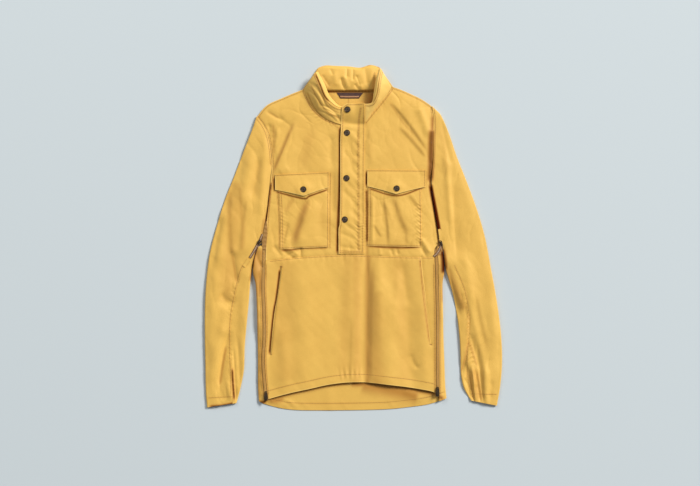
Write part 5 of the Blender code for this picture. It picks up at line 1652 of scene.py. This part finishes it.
def garageTape(side):
    rows = byRow(garage[side], 40)[::-1]
    across = np.linspace(-1, 1, 9)
    x = rows[:, 0:1] + across[None, :] * rows[:, 2:3]
    y = np.repeat(rows[:, 1:2], 9, axis=1)
    z = frontHeight(x, y)
    if side == "left":
        z = np.maximum(z, sleeveHeight(x, y))
    z = z + garage["lift"][side] + garage["pucker"] * np.sin(y / 1.6 + 0.8 * np.sin(x / 2.0))
    grid = np.stack([x, y, z], axis=2)[::-1]
    return clothPiece("garageTape" + side.capitalize(), (), grid, tapeThick, brownTape, "zip_tape")


garages = [garageTape(side) for side in bothSides]


sideZipShape = {
    "foot": {"left": -373, "right": -365},
    "tapeDrop": 0.9,  # the tape and its coil lie lower than the cloth
    "coilDrop": 0.7,
}


def sideZip(side):
    s = sideZipShape
    y = np.linspace(s["foot"][side], cut["sideTop"] - 6, 170)
    x = sideAt(y, leftZip if side == "left" else rightZip)
    across = np.linspace(-1, 1, 11) * cut["zipHalf"]
    gridX = x[:, None] + across[None, :]
    gridY = np.repeat(y[:, None], 11, axis=1)
    z = frontHeight(gridX, gridY) - s["tapeDrop"]
    made = clothPiece("sideZip" + side.capitalize(), ["side_zip_" + side],
                      np.stack([gridX, gridY, z], axis=2), tapeThick, brownTape, "zip_tape")
    route = [(float(a), float(b)) for a, b in zip(x[::24], y[::24])]
    coil("sideCoil" + side.capitalize(), route, lambda u, v: frontHeight(u, v) - s["coilDrop"], brownCoil,
         pitch=1.7, half=2.7, wide=0.6)
    return made


sideZips = [sideZip(side) for side in bothSides]

neckShape = {
    "facing": [(-100, 334.5, 66, 334.5), (-92, 315, 54, 315), (-68, 292, 32, 292)],
    "patch": [(-38.6, 333.6, 22.5, 333.6), (-34.5, 327.5, 17.5, 327.5), (-30, 320.6, 12.5, 320.6)],
    "hanger": [(-30.5, 324.6), (-20, 324.4), (4, 324.4), (12.5, 324.8)],
    "hangerWidth": 3.0,
    "level": 2.6,
    "wave": 0.4,
    "patchLift": 1.0,
    "hangerLift": 1.1,
    "hangerThick": 0.9,
}


def neckHeight(x, y):
    return neckShape["level"] + 0 * x + neckShape["wave"] * np.sin(x / 19.0) * np.sin(y / 11.0)


def neckInside():
    s = neckShape
    grid = stripGrid(s["facing"], 60, 24, neckHeight)
    facing = clothPiece("neckFacing", ["neck_facing"], grid, tapeThick)
    grid = stripGrid(s["patch"], 30, 12, lambda x, y: neckHeight(x, y) + s["patchLift"])
    patch = clothPiece("neckPatch", ["neck_patch"], grid, tapeThick, darkWebbing, "dark_tape")
    ribbon("hangerLoop", s["hanger"], s["hangerWidth"], lambda x, y: neckHeight(x, y) + s["hangerLift"], 50,
           thick=s["hangerThick"], material=paleCord, slot="dark_tape", nodes=["hanger_loop"])
    return facing, patch


facing, neckPatch = neckInside()
print("tapes and neck")

# metal

snapShape = {
    "radius": 0.007,
    "high": 0.0021,
    "bright": (0.0012, 0.0050),  # radii of the face that gets the painted reflection
    "dull": 0.25,
    "bevel": 0.00018,
    # width of each inset of the top face, and how far it then moves up
    "steps": [
        (0.0009, 0.0), (0.0006, -0.0007), (0.0007, -0.0001), (0.0004, 0.0006),
        (0.0013, 0.0001), (0.0012, -0.0003), (0.0009, 0.0),
    ],
}


def deselect():
    if bpy.context.object and bpy.context.object.mode == "EDIT":
        bpy.ops.object.mode_set(mode="OBJECT")
    bpy.ops.object.select_all(action="DESELECT")


def pick(made, test):  # selects the faces that pass a test, in edit mode
    bpy.ops.mesh.select_all(action="DESELECT")
    bm = bmesh.from_edit_mesh(made.data)
    bm.faces.ensure_lookup_table()
    for face in bm.faces:
        face.select_set(bool(test(face)))
    bmesh.update_edit_mesh(made.data)


def softenEdges(made, width):
    soft = made.modifiers.new("bevel", "BEVEL")
    soft.width = width
    soft.segments = 2
    soft.limit_method = "ANGLE"
    bpy.ops.object.modifier_apply(modifier="bevel")
    bpy.ops.object.shade_smooth_by_angle(angle=math.radians(35))


def ringSnap():
    s = snapShape
    deselect()
    bpy.ops.mesh.primitive_cylinder_add(vertices=40, radius=s["radius"], depth=s["high"],
                                        location=(0, 0, s["high"] / 2))
    made = bpy.context.object
    bpy.ops.object.transform_apply(location=True)
    bpy.ops.object.mode_set(mode="EDIT")
    bpy.ops.mesh.select_mode(type="FACE")
    pick(made, lambda face: face.normal.z > 0.9)
    for width, rise in s["steps"]:
        bpy.ops.mesh.inset(thickness=width, depth=rise)
    bpy.ops.object.mode_set(mode="OBJECT")
    softenEdges(made, s["bevel"])
    # painted reflection: the face between these radii is lighter, the rest is dull
    tone = made.data.attributes.new("face", "FLOAT", "POINT")
    low, high = s["bright"]
    for v in made.data.vertices:
        tone.data[v.index].value = 1.0 if low < math.hypot(v.co.x, v.co.y) < high else s["dull"]
    return made


def copyTo(made, name, spot, turn=0.0):  # a copy with its own mesh, its place in the mesh
    mesh = made.data.copy()
    co = np.empty(len(mesh.vertices) * 3)
    mesh.vertices.foreach_get("co", co)
    co = co.reshape(-1, 3)
    c, n = math.cos(turn), math.sin(turn)
    co = np.column_stack([co[:, 0] * c - co[:, 1] * n, co[:, 0] * n + co[:, 1] * c, co[:, 2]]) + spot
    mesh.vertices.foreach_set("co", co.ravel())
    mesh.update()
    placed = bpy.data.objects.new(name, mesh)
    bpy.context.scene.collection.objects.link(placed)
    return placed


snapModel = ringSnap()
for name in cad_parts:
    if name.startswith("snap_"):
        low, high = np.array(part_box(name))
        spot = np.array([(low[0] + high[0]) / 2, (low[1] + high[1]) / 2, low[2]])
        words = name.split("_")
        placed = copyTo(snapModel, words[0] + "".join(w.capitalize() for w in words[1:]), spot, spot[1] * 40)
        finish(placed, [name], snapMetal)
bpy.data.objects.remove(snapModel)

sliderShape = {
    "left": (-0.2165, -0.0105, math.radians(-32)),
    "right": (0.2015, -0.013, math.radians(24)),
    "width": 0.0078,
    "length": 0.0096,
    "plate": 0.0010,
    "space": 0.0014,
    "post": (0.0012, 0.0042),
    "nose": 0.0014,
    "bevel": 0.0002,
    "wire": 0.0006,  # of the two rings: radius, y, height above the top plate, turn
    "rings": [(0.0026, 0.0004, 0.0, (0, 90, 0)), (0.0028, 0.0045, 0.001, (18, 0, 0))],
}


def zipSlider():
    s = sliderShape
    deselect()
    parts = []
    for level in (s["plate"] / 2, s["plate"] * 1.5 + s["space"]):
        bpy.ops.mesh.primitive_cube_add(size=1, location=(0, 0, level),
                                        scale=(s["width"], s["length"], s["plate"]))
        plate = bpy.context.object
        bpy.ops.object.transform_apply(location=True, scale=True)
        bpy.ops.object.mode_set(mode="EDIT")
        bpy.ops.mesh.select_mode(type="FACE")
        pick(plate, lambda face: face.normal.y < -0.9)
        bpy.ops.transform.resize(value=(0.55, 1, 1))
        bpy.ops.mesh.extrude_region_move(TRANSFORM_OT_translate={"value": (0, -s["nose"], 0)})
        bpy.ops.transform.resize(value=(0.6, 1, 1))
        bpy.ops.object.mode_set(mode="OBJECT")
        parts.append(plate)
    bpy.ops.mesh.primitive_cube_add(size=1, location=(0, 0.001, s["plate"] + s["space"] / 2),
                                    scale=(*s["post"], s["space"] + 0.0004))
    bpy.ops.object.transform_apply(location=True, scale=True)
    parts.append(bpy.context.object)
    top = 2 * s["plate"] + s["space"]
    for radius, y, lift, turn in s["rings"]:
        bpy.ops.mesh.primitive_torus_add(major_segments=24, minor_segments=8, major_radius=radius,
                                         minor_radius=s["wire"], location=(0, y, top + lift),
                                         rotation=[math.radians(angle) for angle in turn])
        bpy.ops.object.transform_apply(location=True, rotation=True)
        parts.append(bpy.context.object)
    deselect()
    for part in parts:
        part.select_set(True)
    bpy.context.view_layer.objects.active = parts[0]
    bpy.ops.object.join()
    made = bpy.context.object
    softenEdges(made, s["bevel"])
    return made


sliderModel = zipSlider()
for side, surface in (("left", sleeveHeight), ("right", frontHeight)):
    x, y, turn = sliderShape[side]
    spot = np.array([x, y, (float(surface(x / mm, y / mm)) + 0.4) * mm])
    placed = copyTo(sliderModel, "underarmSlider" + side.capitalize(), spot, turn)
    finish(placed, ["underarm_slider_" + side], bronze)
bpy.data.objects.remove(sliderModel)

for name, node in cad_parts.items():
    if name.startswith(("zip_slider_", "zip_pull_")):
        node.data.materials.clear()
        node.data.materials.append(bronze)
print("metal")

# stitching

placketSeam = [(18, 298), (13.5, 262), (12.5, 180), (13, -34)]
stitchRows("stitchesPlacket", placketPiece, [
    (routeOf(placketShape["rows"]), -3.2), (routeOf(placketShape["rows"], 2), 3.0),
    (placketSeam, 0), (placketSeam, 2.4),
    ([(-31, -30), (-5, -31), (22, -31)], 0), ([(-31, -34), (-5, -34.6), (22, -34.6)], 0),
    ([(-12, 304.5), (6, 305), (22, 305)], 0),
])
stitchRows("stitchesChestLeft", chestLeft, [
    (cut["armholeLeft"], -3.4), (cut["shoulderLeft"], 3.2), (cut["neckLeft"][1:], -3.2),
    ([(-57, -24), (-57, 60), (-56, 150)], 3.0),
])
stitchRows("stitchesChestRight", chestRight, [
    (cut["armholeRight"][:5], 3.4), (cut["shoulderRight"], -3.2), (cut["neckRight"][1:], 3.2),
])


def middleOf(a, b):
    return (a[0] + b[0]) / 2, (a[1] + b[1]) / 2


for side, made in zip(bothSides, pockets):
    left, right = routeOf(pocketShape[side]), routeOf(pocketShape[side], 2)
    foot = [left[-1], middleOf(left[-1], right[-1]), right[-1]]
    stitchRows("stitchesPocket" + side.capitalize(), made, [
        (left, -2.2), (right, 2.2), (foot, -2.2), (left, -6.5),
    ])
for side, made in zip(bothSides, flaps):
    leftX, leftY, rightX, rightY, drop, *_ = flapShape[side]
    left, right, low = (leftX, leftY), (rightX, rightY), (rightX, rightY - drop)
    stitchRows("stitchesFlap" + side.capitalize(), made, [
        ([left, middleOf(left, right), right], 2.0), ([right, middleOf(right, low), low], 2.4),
    ])
frontLeft, frontRight, backLeft, backRight = besideZips(-360, 7.2)
stitchRows("stitchesFront", frontLow, [
    ([(-192, -52)] + cut["waist"][1:-1] + [(184, -44)], 2.8), (cut["frontHem"], -18),
    (frontLeft, 0), (frontRight, 0),
])
bartack = {
    "spots": [(-189.5, -268), (178.5, -246), (-165.5, -68), (155, -56)],  # the ends of the welts
    "half": 3.4,
    "rows": 4,
    "apart": 0.9,
    "pitch": 2.7,
}
stitchRows("bartacks", frontLow, [
    ([(x + step, y + k * bartack["apart"]) for step in (-bartack["half"], 0, bartack["half"])], 0)
    for x, y in bartack["spots"] for k in range(bartack["rows"])
], bartack["pitch"])
stitchRows("stitchesBack", back, [(backLeft, 0), (backRight, 0), (cut["tailHem"], -16)])
for side, way in (("Left", 1), ("Right", -1)):
    seam = sleeves[side]["seam"]
    stitchRows("stitchesSleeve" + side, sleeves[side]["upper"], [
        (seam[seam[:, 1] < -64][:-6:6].tolist(), 3.2 * way), (sleeves[side]["cuff"].tolist(), 0),
        (cut["armhole" + side][:5], 3.6 * way),
    ])
for side, made in collars.items():
    away = -4.2 if side == "left" else 4.2
    stitchRows("stitchesCollar" + side.capitalize(), made, [(routeOf(collarShape[side]), away)])
print("stitching")

# floor, light and camera


room = {
    "floor": "#c6cfd3",
    "floorSize": 12,
    "floorLevel": -0.0006,
    "air": "#eef3f8",
    "airStrength": 0.30,
    "lamps": {"keyLight": ((12.2, 9.6, 10.0), 5.0, 4380), "fillLight": ((-3.4, 3.6, 3.4), 2.6, 95)},
    "lampColour": (1.0, 0.98, 0.95),
    "lens": 67.0,
    "eye": (-0.008, -0.012, 3.0),
}


def studio():
    bpy.ops.object.select_all(action="DESELECT")
    bpy.ops.mesh.primitive_plane_add(size=room["floorSize"], location=(0, 0, room["floorLevel"]))
    floor = bpy.context.object
    floor.name = "floor"
    made, _, shader = newMaterial("palePaintedFloor", 0.9)
    shader.inputs["Base Color"].default_value = srgb(room["floor"])
    floor.data.materials.append(made)
    world = bpy.data.worlds.new("studio")
    bpy.context.scene.world = world
    world.use_nodes = True
    sky = world.node_tree.nodes["Background"]
    sky.inputs["Color"].default_value = srgb(room["air"])
    sky.inputs["Strength"].default_value = room["airStrength"]
    for name, (spot, size, power) in room["lamps"].items():
        lamp = bpy.data.lights.new(name, "AREA")
        lamp.energy = power
        lamp.size = size
        lamp.color = room["lampColour"]
        made = bpy.data.objects.new(name, lamp)
        made.location = spot
        made.rotation_euler = (Vector((0, 0, 0)) - Vector(spot)).to_track_quat("-Z", "Y").to_euler()
        bpy.context.scene.collection.objects.link(made)
    bpy.context.scene.view_settings.view_transform = "Standard"


def photoCamera():
    made = bpy.data.objects.new("camera", bpy.data.cameras.new("camera"))
    made.data.lens = room["lens"]
    made.location = room["eye"]
    bpy.context.scene.collection.objects.link(made)
    bpy.context.scene.camera = made


studio()
photoCamera()
